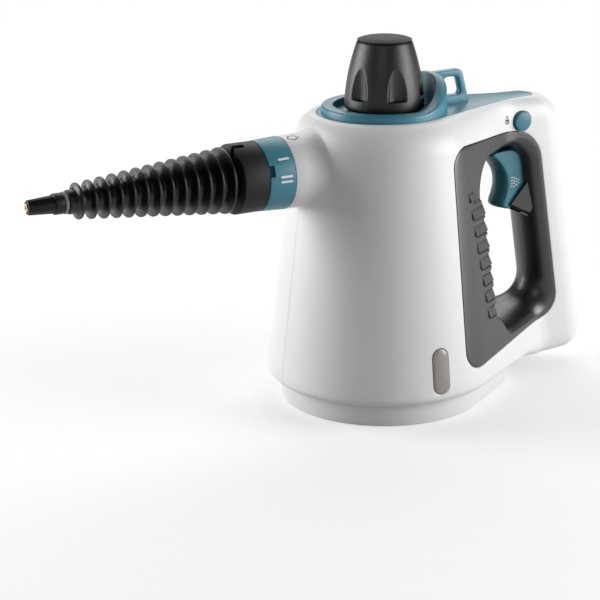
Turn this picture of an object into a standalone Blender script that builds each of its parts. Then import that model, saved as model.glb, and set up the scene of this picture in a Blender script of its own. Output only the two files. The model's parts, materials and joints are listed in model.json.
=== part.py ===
"""Handheld steam cleaner made of separate named pieces. Metres, +Z up, +X towards the handle."""
import math

import bmesh
import bpy
import numpy as np

# General
GAP = 0.0003
DOUBLE_GAP = 0.0006
OVER = 0.02
FAR_OVER = 0.04
WELD = 0.00001
SPLIT = 0.00015
SMOOTH_ANGLE = math.radians(32)
REACH = 1.0
HALF_SHARE = 0.5
WALL_MIDDLE = (0.03, 0, 0.1)

# Body
BODY_R = 0.0769
CONE_SLOPE = 0.12
FLANK_ANGLE = math.radians(31)
FLANK_FILLET = 0.028
PLATE_Y = 0.018
REAR_X = 0.1558
REAR_SLOPE = 0.161
REAR_END = 0.0185
REAR_POWER = 2.2
WALL = 0.0025
ARC_STEPS = 12
LINE_STEPS = 3
FILLET_STEPS = 4
PLATE_STEPS = 2
END_STEPS = 5
HALF_STEPS = (ARC_STEPS, LINE_STEPS, FILLET_STEPS, PLATE_STEPS, END_STEPS)

# Sole
SOLE_Z = 0.013
SOLE_TAIL_Z = 0.009
SOLE_BEND_X = 0.090
SOLE_TAIL_X = 0.112
EDGE_Z = 0.018
EDGE_TAIL_Z = 0.0225
EDGE_IN = 0.0048
EDGE_TAIL_IN = 0.0085
TAIL_SEAM_X = 0.129

# Shoulder
SHOULDER_FRONT_Z = 0.157
SHOULDER_SIDE_Z = 0.164
SHOULDER_PLATE_Z = 0.172
SHOULDER_REAR_Z = 0.161
SHOULDER_TURNS = 4
RISE_TURNS = 2

# Deck
DECK_Z = 0.1855
DECK_PLATE = 0.003
DECK_LEDGE = 0.0018
DECK_LEDGE_OUT = 0.0010
DECK_LEDGE_DROP = 0.0014
DECK_R = 0.0402
DECK_FRONT_R = 0.0432
DECK_ANGLE = math.radians(20.6)
DECK_FILLET = 0.100
DECK_HALF = 0.0084
DECK_REAR_X = 0.1105
DECK_END = 0.008
DECK_LINE_X = 0.070
DECK_FILLET_X = 0.092

# Base
BASE_R = 0.064
BASE_ANGLE = math.radians(32.5)
BASE_END_X = 0.084
BASE_CORNER = 0.014
BASE_DRAFT = 0.0023
BASE_CHAMFER = 0.0008
BASE_FLOOR = 0.003
BASE_WALL = 0.0025
BASE_LIP_OUT = 0.0026
BASE_LIP_H = 0.002
STAND_R = 0.033
STAND_WALL = 0.003
STAND_Z = 0.024

# Neck
NOZZLE_Z = 0.1554
NECK_X = -0.0747
NECK_R = 0.0225
NECK_FLARE_R = 0.0275
NECK_FLARE_X = -0.051
NECK_STRAIGHT_X = -0.0665
NECK_BACK_X = -0.044
NECK_BACK_R = 0.0214
NECK_BORE = 0.0196
NECK_HOLE = 0.0156
NECK_RIB_HOLE = 0.0088
NECK_RIB = 0.0025
FLARE_TURNS = 3
FLARE_POWER = 2.4

# Grip
PANEL_CORNERS = ((0.0158, 0.1696), (0.1054, 0.1645), (0.1262, 0.0374), (0.0189, 0.0300))
PANEL_RADII = (0.012, 0.023, 0.015, 0.013)
HOLE_CORNERS = ((0.0412, 0.1545), (0.0963, 0.1535), (0.1132, 0.0450), (0.0576, 0.0455))
HOLE_RADII = (0.021, 0.016, 0.020, 0.014)
CORNER_STEPS = 4
SIDE_STEPS = 3
ROLL_SHARES = (0.09, 0.33, 0.90, 0.93, 0.93, 0.66, 0.16, 0.06)
ROLL_STEP_SHARES = (0, 0.05, 0.22, 0.55, 1)
ROLL_BACK_SHARES = (0, 0.12, 0.5, 1)
LINER = 0.002
LIP_DROP = 0.0052
LIP_OUT = 0.0011
LIP = 0.0015
RIB_COUNT = 8
RIB_TOP_Z = 0.1338
RIB_FOOT_Z = 0.0575
RIB_TOP_X = 0.0305
RIB_FOOT_X = 0.0455
RIB_TOP_END_X = 0.0445
RIB_FOOT_END_X = 0.0560
RIB_H = 0.0016
RIB_DEEP = 0.0011
RIB_CUT = 0.005
SLOT_HALF = 0.0097
SLOT_FRONT_X = 0.076
SLOT_BACK_X = 0.125
SLOT_FOOT_Z = 0.1092
SLOT_TOP_Z = 0.166
GUARD_FRONT_X = 0.0978
GUARD_BACK_X = 0.1050
GUARD_SILL_BACK_X = 0.1080
GUARD_TOP_Z = 0.1088
GUARD_FOOT_Z = 0.1035
GUARD_NOSE_Z = 0.1120
GUARD_PEAK_Z = 0.1290
GUARD_LAP = 0.0003
GUARD_END_X = 0.1025
GUARD_END_Y = 0.0150

# Trigger
PIVOT = (0.098, 0, 0.161)
TRIGGER_HALF = 0.009
TRIGGER_BULGE = 0.0042
TRIGGER_SHAPE = (
    (0.0760, 0.1490), (0.0800, 0.1467), (0.0842, 0.1425), (0.0878, 0.1371), (0.0895, 0.1314),
    (0.0895, 0.1259), (0.0881, 0.1200), (0.0862, 0.1155), (0.0872, 0.1130), (0.0910, 0.1116),
    (0.1010, 0.1112), (0.1060, 0.1140), (0.1070, 0.1240), (0.1065, 0.1400), (0.1030, 0.1530),
    (0.1018, 0.1640), (0.1000, 0.1650), (0.0950, 0.1645), (0.0925, 0.1550), (0.0880, 0.1520),
    (0.0790, 0.1515),
)
TRIGGER_FRONT_POINTS = 10
TRIGGER_END_SHARE = 0.55
TRIGGER_STATION_SHARES = (1, 0.72, 0.38, 0)
ARM_BOTTOM_Z = 0.160
ARM_TOP_Z = 0.168
ARM_FRONT_X = 0.094
ARM_BACK_X = 0.0985
ARM_INNER_Y = 0.0045
ARM_OUTER_Y = 0.009
PIN_R = 0.0019
PIN_HOLE_R = 0.0022
PIN_HALF = 0.0133
PIVOT_BOSS_R = 0.0044
PIVOT_BOSS_Y = 0.0101
PIVOT_BOSS_END_Y = 0.0152
PIVOT_BLIND_Y = 0.0136
TRIGGER_COIL_Z = 0.128
TRIGGER_COIL_R = 0.0034
TRIGGER_COIL_FRONT_X = 0.1074
TRIGGER_COIL_BACK_X = 0.1318
TRIGGER_COIL_TURNS = 4
COIL_WIRE = 0.00045
COIL_POINTS = 8
COIL_GAP = 0.0006

# Lock
LOCK_X = 0.0926
LOCK_Z = 0.1718
LOCK_R = 0.0061
LOCK_FAR_R = 0.0045
LOCK_WAIST_R = 0.0024
LOCK_FRONT_Y = -0.0202
LOCK_SHOULDER_Y = 0.0135
LOCK_FAR_Y = 0.0177
LOCK_ROUND = 0.0006

# Lens
LENS_X = -0.0022
LENS_LOW_Z = 0.0215
LENS_HIGH_Z = 0.0500
LENS_HALF = 0.0055
LENS_DEEP = 0.0024
LENS_CUT = 0.0048
LENS_PROUD = 0.0002
LENS_CROWN = 0.0006
LENS_CROWN_SHARE = 0.7
LENS_TURNS = 8
LAMP_R = 0.0024
LAMP_Z = 0.0358
LAMP_LENGTH = 0.009

# Collar
COLLAR_R = 0.0395
COLLAR_TAPER = 0.12
COLLAR_IN_R = 0.0316
COLLAR_FOOT_Z = 0.1832
RIM_Z = 0.1900
HOOD_Z = 0.2064
HOOD_START_X = 0.0045
HOOD_FULL_X = 0.0250
CREASE = 0.0010
COLLAR_STEPS = 40
WELL_R = 0.0158

# Loop
LOOP_HALF = 0.0028
LOOP_CORNERS = ((0.0340, 0.2066), (0.0560, 0.2070), (0.0622, 0.1845), (0.0340, 0.1845))
LOOP_RADII = (0.001, 0.0042, 0.0008, 0.0008)
EYE_CORNERS = ((0.0429, 0.2025), (0.0528, 0.2025), (0.0560, 0.1905), (0.0411, 0.1905))
EYE_RADII = (0.0028, 0.0028, 0.0022, 0.0022)

# Cap
KNOB_Z = 0.187
KNOB_H = 0.0426
KNOB_TOP_Z = KNOB_Z + KNOB_H
KNOB_TOP_R = 0.0171
KNOB_FOOT_R = 0.0250
KNOB_HEM_R = 0.0226
KNOB_HEM_Z = 0.1895
KNOB_BELL_POWER = 1.75
KNOB_STEPS = 48
KNOB_RISE_SHARES = (0, 0.07, 0.14, 0.16, 0.29, 0.42, 0.54, 0.65, 0.83, 1)
GRIP_COUNT = 6
GRIP_FIRST = math.radians(-162)
GRIP_HALF_ANGLE = math.radians(14)
GRIP_LOW_SHARE = 0.145
GRIP_HIGH_SHARE = 0.64
GRIP_DEEP = 0.0040
GRIP_ARCH_POWER = 2.2
GRIP_FLOOR_POWER = 1.6
CORE_BORE_R = 0.0093
KNOB_CROWN = 0.0086
CORE_TOP_Z = KNOB_TOP_Z - KNOB_CROWN
FLANGE_POCKET_R = 0.0181
FLANGE_POCKET_Z = 0.1907
DISC_R = 0.0168
DISC_EDGE = 0.0012
DISC_DOME = 0.0036
DISC_Z = KNOB_TOP_Z + GAP
DISC_EDGE_Z = DISC_Z + DISC_EDGE
DISC_TOP_Z = DISC_EDGE_Z + DISC_DOME
DISC_PIN_R = 0.004
DISC_PIN = 0.0056
DISC_PIN_Z = KNOB_TOP_Z - DISC_PIN
DISC_TURNS = 4
PLUG_R = 0.0116
PLUG_Z = 0.163
CORE_R = 0.009
CORE_FLANGE_R = 0.0178
CORE_FLANGE_Z = 0.1879
CORE_FLANGE_TOP_Z = 0.1904
RELIEF_HOLE_R = 0.002
RELIEF_BORE_R = 0.0033
RELIEF_SEAT_Z = 0.166
RELIEF_ROOF = 0.0065
RELIEF_BORE_TOP_Z = CORE_TOP_Z - RELIEF_ROOF
RELIEF_R = 0.003
RELIEF_HEAD_Z = 0.180
RELIEF_STEM_R = 0.0012
RELIEF_STEM_Z = 0.198
RELIEF_COIL_R = 0.0024
RELIEF_COIL_TURNS = 4
RELIEF_WIRE = 0.00035
GASKET_IN_R = 0.0119
GASKET_OUT_R = 0.0145
GASKET_Z = 0.1868
GASKET_TOP_Z = 0.1876
SEAL_IN_R = 0.0148
SEAL_OUT_R = 0.0205
SEAL_H = 0.0009

# Steam ring
RING_FRONT_X = -0.0920
RING_FRONT_R = 0.0216
RING_BACK_R = 0.0225
RING_BORE_R = 0.0153
NOTCH_DEEP = 0.0035
NOTCH_HALF = 0.0035
NOTCH_ANGLE = math.radians(18.5)
NOTCH_FLOOR_R = 0.0186
NOTCH_CUT = 0.005
SPIGOT_R = 0.0150
SPIGOT_FRONT_X = -0.1060
SPIGOT_FLANGE_R = 0.0192
SPIGOT_FLANGE_X = -0.0720
SPIGOT_FLANGE_END_X = -0.0695
SPIGOT_TAIL_R = 0.0078
SPIGOT_TAIL_X = -0.0506
SPIGOT_BORE_R = 0.003
SPIGOT_CUP_R = 0.0125
SPIGOT_CUP_X = -0.0760
LUG_ANGLE = math.radians(68)
LUG_X = -0.1056
LUG_END_X = -0.1044
LUG_FOOT_R = 0.0133
LUG_HALF = 0.0026
LUG_TOP_R = 0.0186

# Nozzle
HOLD_R = 0.0215
HOLD_FRONT_X = -0.1088
HOLD_BACK_X = -0.0923
HOLD_BORE_R = 0.0153
HOLD_WALL_X = -0.1064
HOLD_HOLE_R = 0.0113
LATCH_FRONT_X = -0.1100
LATCH_BACK_X = -0.1040
LATCH_FLOOR_R = 0.0145
LATCH_LAP = 0.001
LATCH_HALF = 0.0030
CONE_BACK_X = -0.1091
RIB_LAST = 12
DISC_FIRST_X = -0.2089
DISC_PITCH = 0.00781
DISC_FIRST_R = 0.0108
DISC_GROWTH = 0.00078
DISC_THICK = 0.0026
DISC_FIRST_THICK = 0.0034
DISC_RIM_SHARE = 0.8
CORE_SHARE = 0.74
CONE_FRONT_X = -0.2146
CONE_FRONT_R = 0.0074
CONE_BORE_R = 0.0043
CONE_PLUG_R = 0.0110
CONE_PLUG_X = -0.1018
CONE_STEPS = 20
SEAL_RING_R = 0.0066
SEAL_RING_W = 0.0024
SEAL_RING_BACK_X = CONE_FRONT_X - GAP
SEAL_RING_FRONT_X = SEAL_RING_BACK_X - SEAL_RING_W
SEAL_RING_IN_R = 0.0043
TIP_STEM_R = 0.0040
TIP_STEM = 0.0066
TIP_STEM_X = CONE_FRONT_X + TIP_STEM
TIP_STEP_R = 0.0063
TIP_STEP_X = SEAL_RING_FRONT_X - GAP
TIP_STEP = 0.0054
TIP_NECK_X = TIP_STEP_X - TIP_STEP
TIP_LENGTH = 0.0160
TIP_FRONT_X = TIP_NECK_X - TIP_LENGTH
TIP_BACK_R = 0.0054
TIP_FRONT_R = 0.0043
TIP_STEPS = 16
TIP_BORE_R = 0.0028
TIP_BORE_DEEP = 0.0090
TIP_BORE_X = TIP_FRONT_X + TIP_BORE_DEEP
JET_R = 0.0025
JET_PROUD = 0.0008
JET_LENGTH = 0.0086
JET_FRONT_X = TIP_FRONT_X - JET_PROUD
JET_BACK_X = JET_FRONT_X + JET_LENGTH
JET_HOLE_R = 0.0009
JET_ROUND = 0.0006
JET_HOLE = 0.0024

# Boiler
BOILER_Z = 0.0243
BOILER_R = 0.042
BOILER_WALL = 0.002
BOILER_ROUND = 0.006
FLANGE_R = 0.049
FLANGE_Z = 0.084
FLANGE_TOP_Z = 0.086
GASKET_H = 0.0014
DOME_FOOT_Z = 0.112
DOME_Z = 0.139
DOME_TURNS = 4
FILLER_R = 0.0145
FILLER_BORE_R = 0.0119
FILLER_TOP_Z = 0.1865
PORT_X = -0.030
PORT_R = 0.0062
PORT_Z = 0.144
PORT_FOOT_Z = 0.128
PORT_BORE_R = 0.0020
BOLT_CIRCLE_R = 0.0456
BOLT_R = 0.0012
BOLT_HOLE_R = 0.0015
BOLT_HEAD_R = 0.0024
BOLT_HEAD = 0.0016
BOLT_TAIL = 0.0012
BOLT_CUT = 0.004
HEATER_R = 0.0285
HEATER = 0.0035
THERMOSTAT_R = 0.007
THERMOSTAT_X = 0.012
THERMOSTAT_H = 0.0078
FUSE_R = 0.0023
FUSE_X = -0.012
FUSE_HALF = 0.0075

# Valve
VALVE_BACK_X = -0.0195
VALVE_FRONT_X = -0.0503
VALVE_R = 0.007
VALVE_BORE_R = 0.0025
VALVE_BLIND_X = -0.02675
VALVE_STUB_R = 0.005
STEM_Y = 0.019
STEM_Z = 0.167
STEM_R = 0.0016
STEM_HOLE_R = 0.0019
STEM_FRONT_X = -0.036
STEM_BACK_X = -0.0030
STEM_HEAD_R = 0.0042
STEM_HEAD = 0.0018
STEM_BORE_END_X = -0.0396
GUIDE_R = 0.0055
GUIDE_FRONT_X = -0.042
GUIDE_BACK_X = -0.016
BRIDGE_FRONT_X = -0.0405
BRIDGE_BACK_X = -0.0265
BRIDGE_LOW_Z = 0.150
BRIDGE_HIGH_Z = 0.1705
BRIDGE_Y = 0.0225
BRIDGE_LEFT_Y = -0.0045
VALVE_COIL_R = 0.0029
VALVE_COIL_TURNS = 2
ROD_R = 0.0013
ROD_NEAR_Y = 0.0068
ROD_BEND_X = 0.050
ROD_BEND_END_X = 0.072

# Wiring and fasteners
BLOCK_X = 0.058
BLOCK_LENGTH = 0.016
BLOCK_WIDTH = 0.026
BLOCK_H = 0.011
GLAND_Z = 0.033
GLAND_R = 0.0055
GLAND_BORE_R = 0.0030
GLAND_FRONT_X = 0.1380
GLAND_BACK_X = 0.1498
GLAND_COLLAR_R = 0.0075
GLAND_COLLAR = 0.0020
GLAND_COLLAR_X = 0.1435
SCREW_PLACES = ((-0.057, 0.062), (-0.050, 0.120), (0.104, 0.0245), (0.1245, 0.098))
POST_R = 0.0040
POST_SINK = 0.6
POST_BORE_R = 0.0017
POST_BLIND_R = 0.0016
POST_BLIND_Y = -0.0110
HEAD_POCKET_R = 0.0031
HEAD_Y = 0.0080
SCREW_R = 0.0013
SCREW_HEAD_R = 0.0027
SCREW_HEAD = 0.0018
SCREW_END_Y = -0.0100
RING_STEPS = 32
LATHE_STEPS = 24
CORE_STEPS = 16
SMALL_STEPS = 12
TINY_STEPS = 8

# Finish
SHELL_WHITE = (0.80, 0.80, 0.80)
TEAL = (0.054, 0.223, 0.296)
LINER_GREY = (0.085, 0.085, 0.088)
CHARCOAL = (0.021, 0.019, 0.019)
NOZZLE_BLACK = (0.012, 0.012, 0.013)
SEAL_GREY = (0.25, 0.25, 0.25)
LENS_GREY = (0.28, 0.25, 0.24)
BRASS_COLOUR = (0.62, 0.47, 0.20)
STEEL_COLOUR = (0.55, 0.55, 0.56)
ALLOY_COLOUR = (0.60, 0.61, 0.62)
RUBBER_COLOUR = (0.03, 0.03, 0.03)
NATURAL_COLOUR = (0.70, 0.68, 0.62)
LAMP_COLOUR = (0.75, 0.20, 0.05)
METAL = 1
ROUGH = {
    "shell_white": 0.42, "base_white": 0.45, "cover_teal": 0.34, "trigger_teal": 0.4, "lock_teal": 0.38,
    "ring_teal": 0.38, "liner_grey": 0.45, "lens_smoke": 0.2, "lamp_amber": 0.3, "cap_charcoal": 0.45,
    "disc_charcoal": 0.4, "core_natural": 0.5, "spigot_black": 0.5, "collar_black": 0.6, "nozzle_black": 0.4,
    "seal_grey": 0.5, "tip_black": 0.5, "boiler_alloy": 0.35, "steel": 0.35, "alloy": 0.4, "brass": 0.3,
    "rubber": 0.8, "natural_plastic": 0.5,
}


def start():
    """Empties the file and makes the two groups."""
    for old in list(bpy.data.objects):
        bpy.data.objects.remove(old)
    groups = []
    for title in ("steam_cleaner", "cutters"):
        group = bpy.data.collections.new(title)
        bpy.context.scene.collection.children.link(group)
        groups.append(group)
    return groups


PARTS, TOOLS = start()


def paint(name, colour, metallic=0):
    """Makes one material."""
    finish = bpy.data.materials.new(name)
    finish.use_nodes = True
    shader = finish.node_tree.nodes["Principled BSDF"]
    shader.inputs["Base Color"].default_value = (*colour, 1)
    shader.inputs["Roughness"].default_value = ROUGH[name]
    shader.inputs["Metallic"].default_value = metallic
    finish.diffuse_color = (*colour, 1)
    return finish


def settle(body, mesh):
    """Gives a body its closed, welded, outward, smooth mesh."""
    work = bmesh.new()
    work.from_mesh(mesh)
    bmesh.ops.remove_doubles(work, verts=work.verts, dist=WELD)
    bmesh.ops.recalc_face_normals(work, faces=work.faces)
    work.to_mesh(mesh)
    work.free()
    body.data = mesh
    mesh.polygons.foreach_set("use_smooth", [True] * len(mesh.polygons))
    mesh.set_sharp_from_angle(angle=SMOOTH_ANGLE)
    return body


def solid(name, points, faces, tool=False):
    """Makes a body from points and faces."""
    mesh = bpy.data.meshes.new(name)
    mesh.from_pydata([tuple(point) for point in points], [], faces)
    body = bpy.data.objects.new(name, mesh)
    (TOOLS if tool else PARTS).objects.link(body)
    if tool:
        body.hide_render = True
        body.display_type = "WIRE"
    return settle(body, mesh)


def evaluated(body):
    """The mesh of a body with its modifiers worked in, in world places."""
    graph = bpy.context.evaluated_depsgraph_get()
    mesh = bpy.data.meshes.new_from_object(body.evaluated_get(graph))
    mesh.transform(body.matrix_world)
    return mesh


def lathe(name, profile, axis="Z", at=(0, 0, 0), steps=LATHE_STEPS, tool=False):
    """Turns a profile of (radius, height) pairs round an axis through a point."""
    count = len(profile)
    edges = [(i, i + 1) for i in range(count - 1)]
    if profile[0][0] > 0:
        edges.append((count - 1, 0))
    outline = bpy.data.meshes.new(name)
    outline.from_pydata([(r, 0, h) for r, h in profile], edges, [])
    body = bpy.data.objects.new(name, outline)
    (TOOLS if tool else PARTS).objects.link(body)
    turn = body.modifiers.new("Turn", "SCREW")
    turn.angle = math.tau
    turn.steps = steps
    turn.render_steps = steps
    turn.use_merge_vertices = True
    turn.merge_threshold = WELD
    mesh = evaluated(body)
    body.modifiers.clear()
    spot = np.empty(len(mesh.vertices) * 3)
    mesh.vertices.foreach_get("co", spot)
    spot = spot.reshape(-1, 3)
    order = {"X": (2, 0, 1), "Y": (1, 2, 0), "Z": (0, 1, 2)}[axis]
    spot = spot[:, order] + np.array(at)
    mesh.vertices.foreach_set("co", spot.ravel())
    if tool:
        body.hide_render = True
        body.display_type = "WIRE"
    return settle(body, mesh)


def rod(name, r, low, high, axis="Z", at=(0, 0, 0), steps=SMALL_STEPS, tool=False):
    """A plain round bar between two heights along an axis."""
    profile = ((0, high), (r, high), (r, low), (0, low))
    return lathe(name, profile, axis, at, steps, tool)


def tube(name, r, bore, low, high, axis="Z", at=(0, 0, 0), steps=LATHE_STEPS, tool=False):
    """A plain pipe between two heights along an axis."""
    profile = ((bore, high), (r, high), (r, low), (bore, low))
    return lathe(name, profile, axis, at, steps, tool)


def block(name, low, high, tool=False):
    """A box between two corners."""
    work = bmesh.new()
    bmesh.ops.create_cube(work, size=1)
    low, high = np.array(low), np.array(high)
    for corner in work.verts:
        corner.co = tuple(low + (high - low) * (np.array(corner.co) + HALF_SHARE))
    mesh = bpy.data.meshes.new(name)
    work.to_mesh(mesh)
    work.free()
    body = solid(name, [], [], tool)
    return settle(body, mesh)


def change(body, tool, mode="DIFFERENCE", solver="EXACT"):
    """Cuts a body with a tool, or joins the tool to it."""
    step = body.modifiers.new(tool.name, "BOOLEAN")
    step.operation = mode
    step.solver = solver
    step.object = tool
    return body


def weld(*bodies):
    """Closes the hairline seams that a row of cuts can leave."""
    for body in bodies:
        close = body.modifiers.new("Weld", "WELD")
        close.merge_threshold = WELD


def seat(body, origin):
    """Moves the origin of a body on to its joint axis."""
    shift = np.array(origin, dtype=float)
    spot = np.empty(len(body.data.vertices) * 3)
    body.data.vertices.foreach_get("co", spot)
    spot = spot.reshape(-1, 3) - shift
    body.data.vertices.foreach_set("co", spot.ravel())
    body.location = tuple(shift)
    body.data.update()
    return body


def coat(finish, *bodies):
    """Gives the bodies one material."""
    for body in bodies:
        body.data.materials.clear()
        body.data.materials.append(finish)


def stack(name, rings, tool=False):
    """Closes a row of rings with the same number of points into one body."""
    count = len(rings[0])
    points = [point for ring in rings for point in ring]
    faces = []
    for row in range(len(rings) - 1):
        low, high = row * count, (row + 1) * count
        for i in range(count):
            j = (i + 1) % count
            faces.append((low + i, low + j, high + j, high + i))
    faces.append(tuple(range(count)))
    faces.append(tuple(range(len(points) - count, len(points))))
    return solid(name, points, faces, tool)


def torus(name, rings, tool=False):
    """Closes a row of rings that meets itself again."""
    rows, count = len(rings), len(rings[0])
    points = [point for ring in rings for point in ring]
    faces = []
    for row in range(rows):
        low, high = row * count, ((row + 1) % rows) * count
        for i in range(count):
            j = (i + 1) % count
            faces.append((low + i, low + j, high + j, high + i))
    return solid(name, points, faces, tool)


def wire(name, points, r, tool=False):
    """A round wire through the points, closed at both ends."""
    curve = bpy.data.curves.new(name, "CURVE")
    curve.dimensions = "3D"
    curve.bevel_depth = r
    curve.bevel_resolution = 1
    curve.use_fill_caps = True
    line = curve.splines.new("POLY")
    line.points.add(len(points) - 1)
    for knot, point in zip(line.points, points):
        knot.co = (*point, 1)
    drawn = bpy.data.objects.new(name + "_line", curve)
    PARTS.objects.link(drawn)
    mesh = evaluated(drawn)
    bpy.data.objects.remove(drawn)
    body = solid(name, [], [], tool)
    return settle(body, mesh)


def coil(name, r, wire_r, turns, low, high, axis, at):
    """One unbroken spring wire with a closed turn at each end."""
    points = []
    count = (turns + 2) * COIL_POINTS
    inner = high - low - 2 * wire_r
    closed = 2 * wire_r + COIL_GAP
    for i in range(count + 1):
        lap = i / COIL_POINTS
        if lap < 1:
            rise = closed * lap
        elif lap > turns + 1:
            rise = inner - closed * (turns + 2 - lap)
        else:
            rise = closed + (inner - 2 * closed) * (lap - 1) / turns
        turn = math.tau * lap
        flat = (r * math.cos(turn), r * math.sin(turn), low + wire_r + rise)
        order = {"X": (2, 0, 1), "Y": (1, 2, 0), "Z": (0, 1, 2)}[axis]
        points.append(tuple(flat[order[k]] + at[k] for k in range(3)))
    knots = np.array(points)
    apart = np.linalg.norm(knots[:, None] - knots[None], axis=2)
    near = np.abs(np.subtract.outer(np.arange(len(knots)), np.arange(len(knots)))) < COIL_POINTS // 2
    least = apart[~near].min() - 2 * wire_r
    print(name, "least gap to itself", round(float(least) * 1000, 2), "mm")
    return wire(name, points, wire_r)


def mix(a, b, share):
    """Goes from a to b by a share."""
    return a + (b - a) * share


def cone_r(z):
    """Radius of the round body at a height."""
    return BODY_R - CONE_SLOPE * z


def half_width(x, r, angle, fillet, plate):
    """Circle, tangent line, hollow fillet and flat plate."""
    if x <= r * math.sin(angle):
        return math.sqrt(max(r * r - x * x, 0))
    meet = (r - plate * math.cos(angle)) / math.sin(angle)
    run = fillet * math.tan(angle / 2)
    if x <= meet - run * math.cos(angle):
        return (r - x * math.sin(angle)) / math.cos(angle)
    if x <= meet + run:
        return plate + fillet - math.sqrt(fillet ** 2 - (meet + run - x) ** 2)
    return plate


def body_half(x, z):
    """Half width of the body at a place below the shoulder."""
    wide = half_width(x, cone_r(z), FLANK_ANGLE, FLANK_FILLET, PLATE_Y)
    past = x - (REAR_X - REAR_SLOPE * z - REAR_END)
    if past > 0:
        wide *= (1 - (past / REAR_END) ** REAR_POWER) ** (1 / REAR_POWER)
    return wide


def lace(r, front_r, angle, fillet, plate, stops, end, end_x):
    """Half outline from the front round to the rear, with the same count of points in every stretch."""
    arc, line, bend, flat, tail = HALF_STEPS
    points = []
    for i in range(arc + 1):
        turn = mix(math.pi, math.pi / 2 - angle, i / arc)
        across = front_r if math.cos(turn) < 0 else r
        points.append((across * math.cos(turn), r * math.sin(turn)))
    marks = [r * math.sin(angle), *stops, end_x - end]
    for steps, low, high in zip((line, bend, flat), marks, marks[1:]):
        for i in range(1, steps + 1):
            x = mix(low, high, i / steps)
            points.append((x, half_width(x, r, angle, fillet, plate)))
    wide = half_width(marks[-1], r, angle, fillet, plate)
    for i in range(1, tail + 1):
        turn = math.pi / 2 * i / tail
        x = marks[-1] + end * math.sin(turn) ** (2 / REAR_POWER)
        y = wide * max(math.cos(turn), 0) ** (2 / REAR_POWER) if i < tail else 0
        points.append((x, y))
    return np.array(points)


def body_outline(z):
    """Half outline of the body at a height."""
    r = cone_r(z)
    meet = (r - PLATE_Y * math.cos(FLANK_ANGLE)) / math.sin(FLANK_ANGLE)
    run = FLANK_FILLET * math.tan(FLANK_ANGLE / 2)
    stops = (meet - run * math.cos(FLANK_ANGLE), meet + run)
    return lace(r, r, FLANK_ANGLE, FLANK_FILLET, PLATE_Y, stops, REAR_END, REAR_X - REAR_SLOPE * z)


def deck_outline(out=0):
    """Half outline of the deck opening, moved out by a distance."""
    stops = (DECK_LINE_X, DECK_FILLET_X)
    return lace(DECK_R + out, DECK_FRONT_R + out, DECK_ANGLE, DECK_FILLET, DECK_HALF + out, stops,
                DECK_END, DECK_REAR_X + out)


def base_outline(out=0):
    """Half outline of the base, moved out by a distance, with its last stretch straight across the rear."""
    arc, line, bend = HALF_STEPS[:3]
    r, corner, end_x = BASE_R + out, BASE_CORNER + out, BASE_END_X + out
    points = []
    for i in range(arc + 1):
        turn = mix(math.pi, math.pi / 2 - BASE_ANGLE, i / arc)
        points.append((r * math.cos(turn), r * math.sin(turn)))
    centre_x = end_x - corner
    centre_y = (r - corner - centre_x * math.sin(BASE_ANGLE)) / math.cos(BASE_ANGLE)
    first = points[-1]
    turn = math.pi / 2 - BASE_ANGLE
    last = (centre_x + corner * math.cos(turn), centre_y + corner * math.sin(turn))
    for i in range(1, line + 1):
        points.append((mix(first[0], last[0], i / line), mix(first[1], last[1], i / line)))
    for i in range(1, bend):
        part = turn * (1 - i / (bend - 1))
        points.append((centre_x + corner * math.cos(part), centre_y + corner * math.sin(part)))
    points.append((end_x, 0))
    return np.array(points)


def sole_z(x):
    """Height of the underside along the handle."""
    share = min(max((x - SOLE_BEND_X) / (SOLE_TAIL_X - SOLE_BEND_X), 0), 1)
    return mix(SOLE_Z, SOLE_TAIL_Z, share * share * (3 - 2 * share))


def tail_share(column):
    """0 along the round body, rising to 1 over the rear end."""
    start_column = sum(HALF_STEPS[:3])
    return min(max((column - start_column) / (HALF_STEPS[3] + 2), 0), 1)


def shoulder_z(column):
    """Height where the wall starts to turn in towards the deck."""
    arc, line, bend, flat, tail = HALF_STEPS
    marks = (0, arc / 2, arc, arc + line + bend, arc + line + bend + flat, sum(HALF_STEPS))
    heights = (SHOULDER_FRONT_Z, SHOULDER_SIDE_Z, SHOULDER_SIDE_Z, SHOULDER_PLATE_Z,
               SHOULDER_PLATE_Z, SHOULDER_REAR_Z)
    return float(np.interp(column, marks, heights))


def skin(x, z):
    """Half width of the housing at a place on its side, shoulder included."""
    wide = body_half(x, z)
    columns = range(sum(HALF_STEPS[:4]) + 1)
    turn_z = float(np.interp(x, body_outline(SHOULDER_SIDE_Z)[columns, 0], [shoulder_z(c) for c in columns]))
    if z <= turn_z:
        return wide
    deck_wide = half_width(x, DECK_R, DECK_ANGLE, DECK_FILLET, DECK_HALF)
    rise = (z - turn_z) / (DECK_Z - turn_z)
    return mix(wide, deck_wide, 1 - math.sqrt(max(1 - rise * rise, 0)))


def inward(points):
    """Level directions pointing into a half outline that starts and ends on the middle plane."""
    before = np.vstack((points[1] * (1, -1), points[:-1]))
    after = np.vstack((points[1:], points[-2] * (1, -1)))
    along = after - before
    across = np.column_stack((along[:, 1], -along[:, 0]))
    return across / np.linalg.norm(across, axis=1)[:, None]


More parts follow.
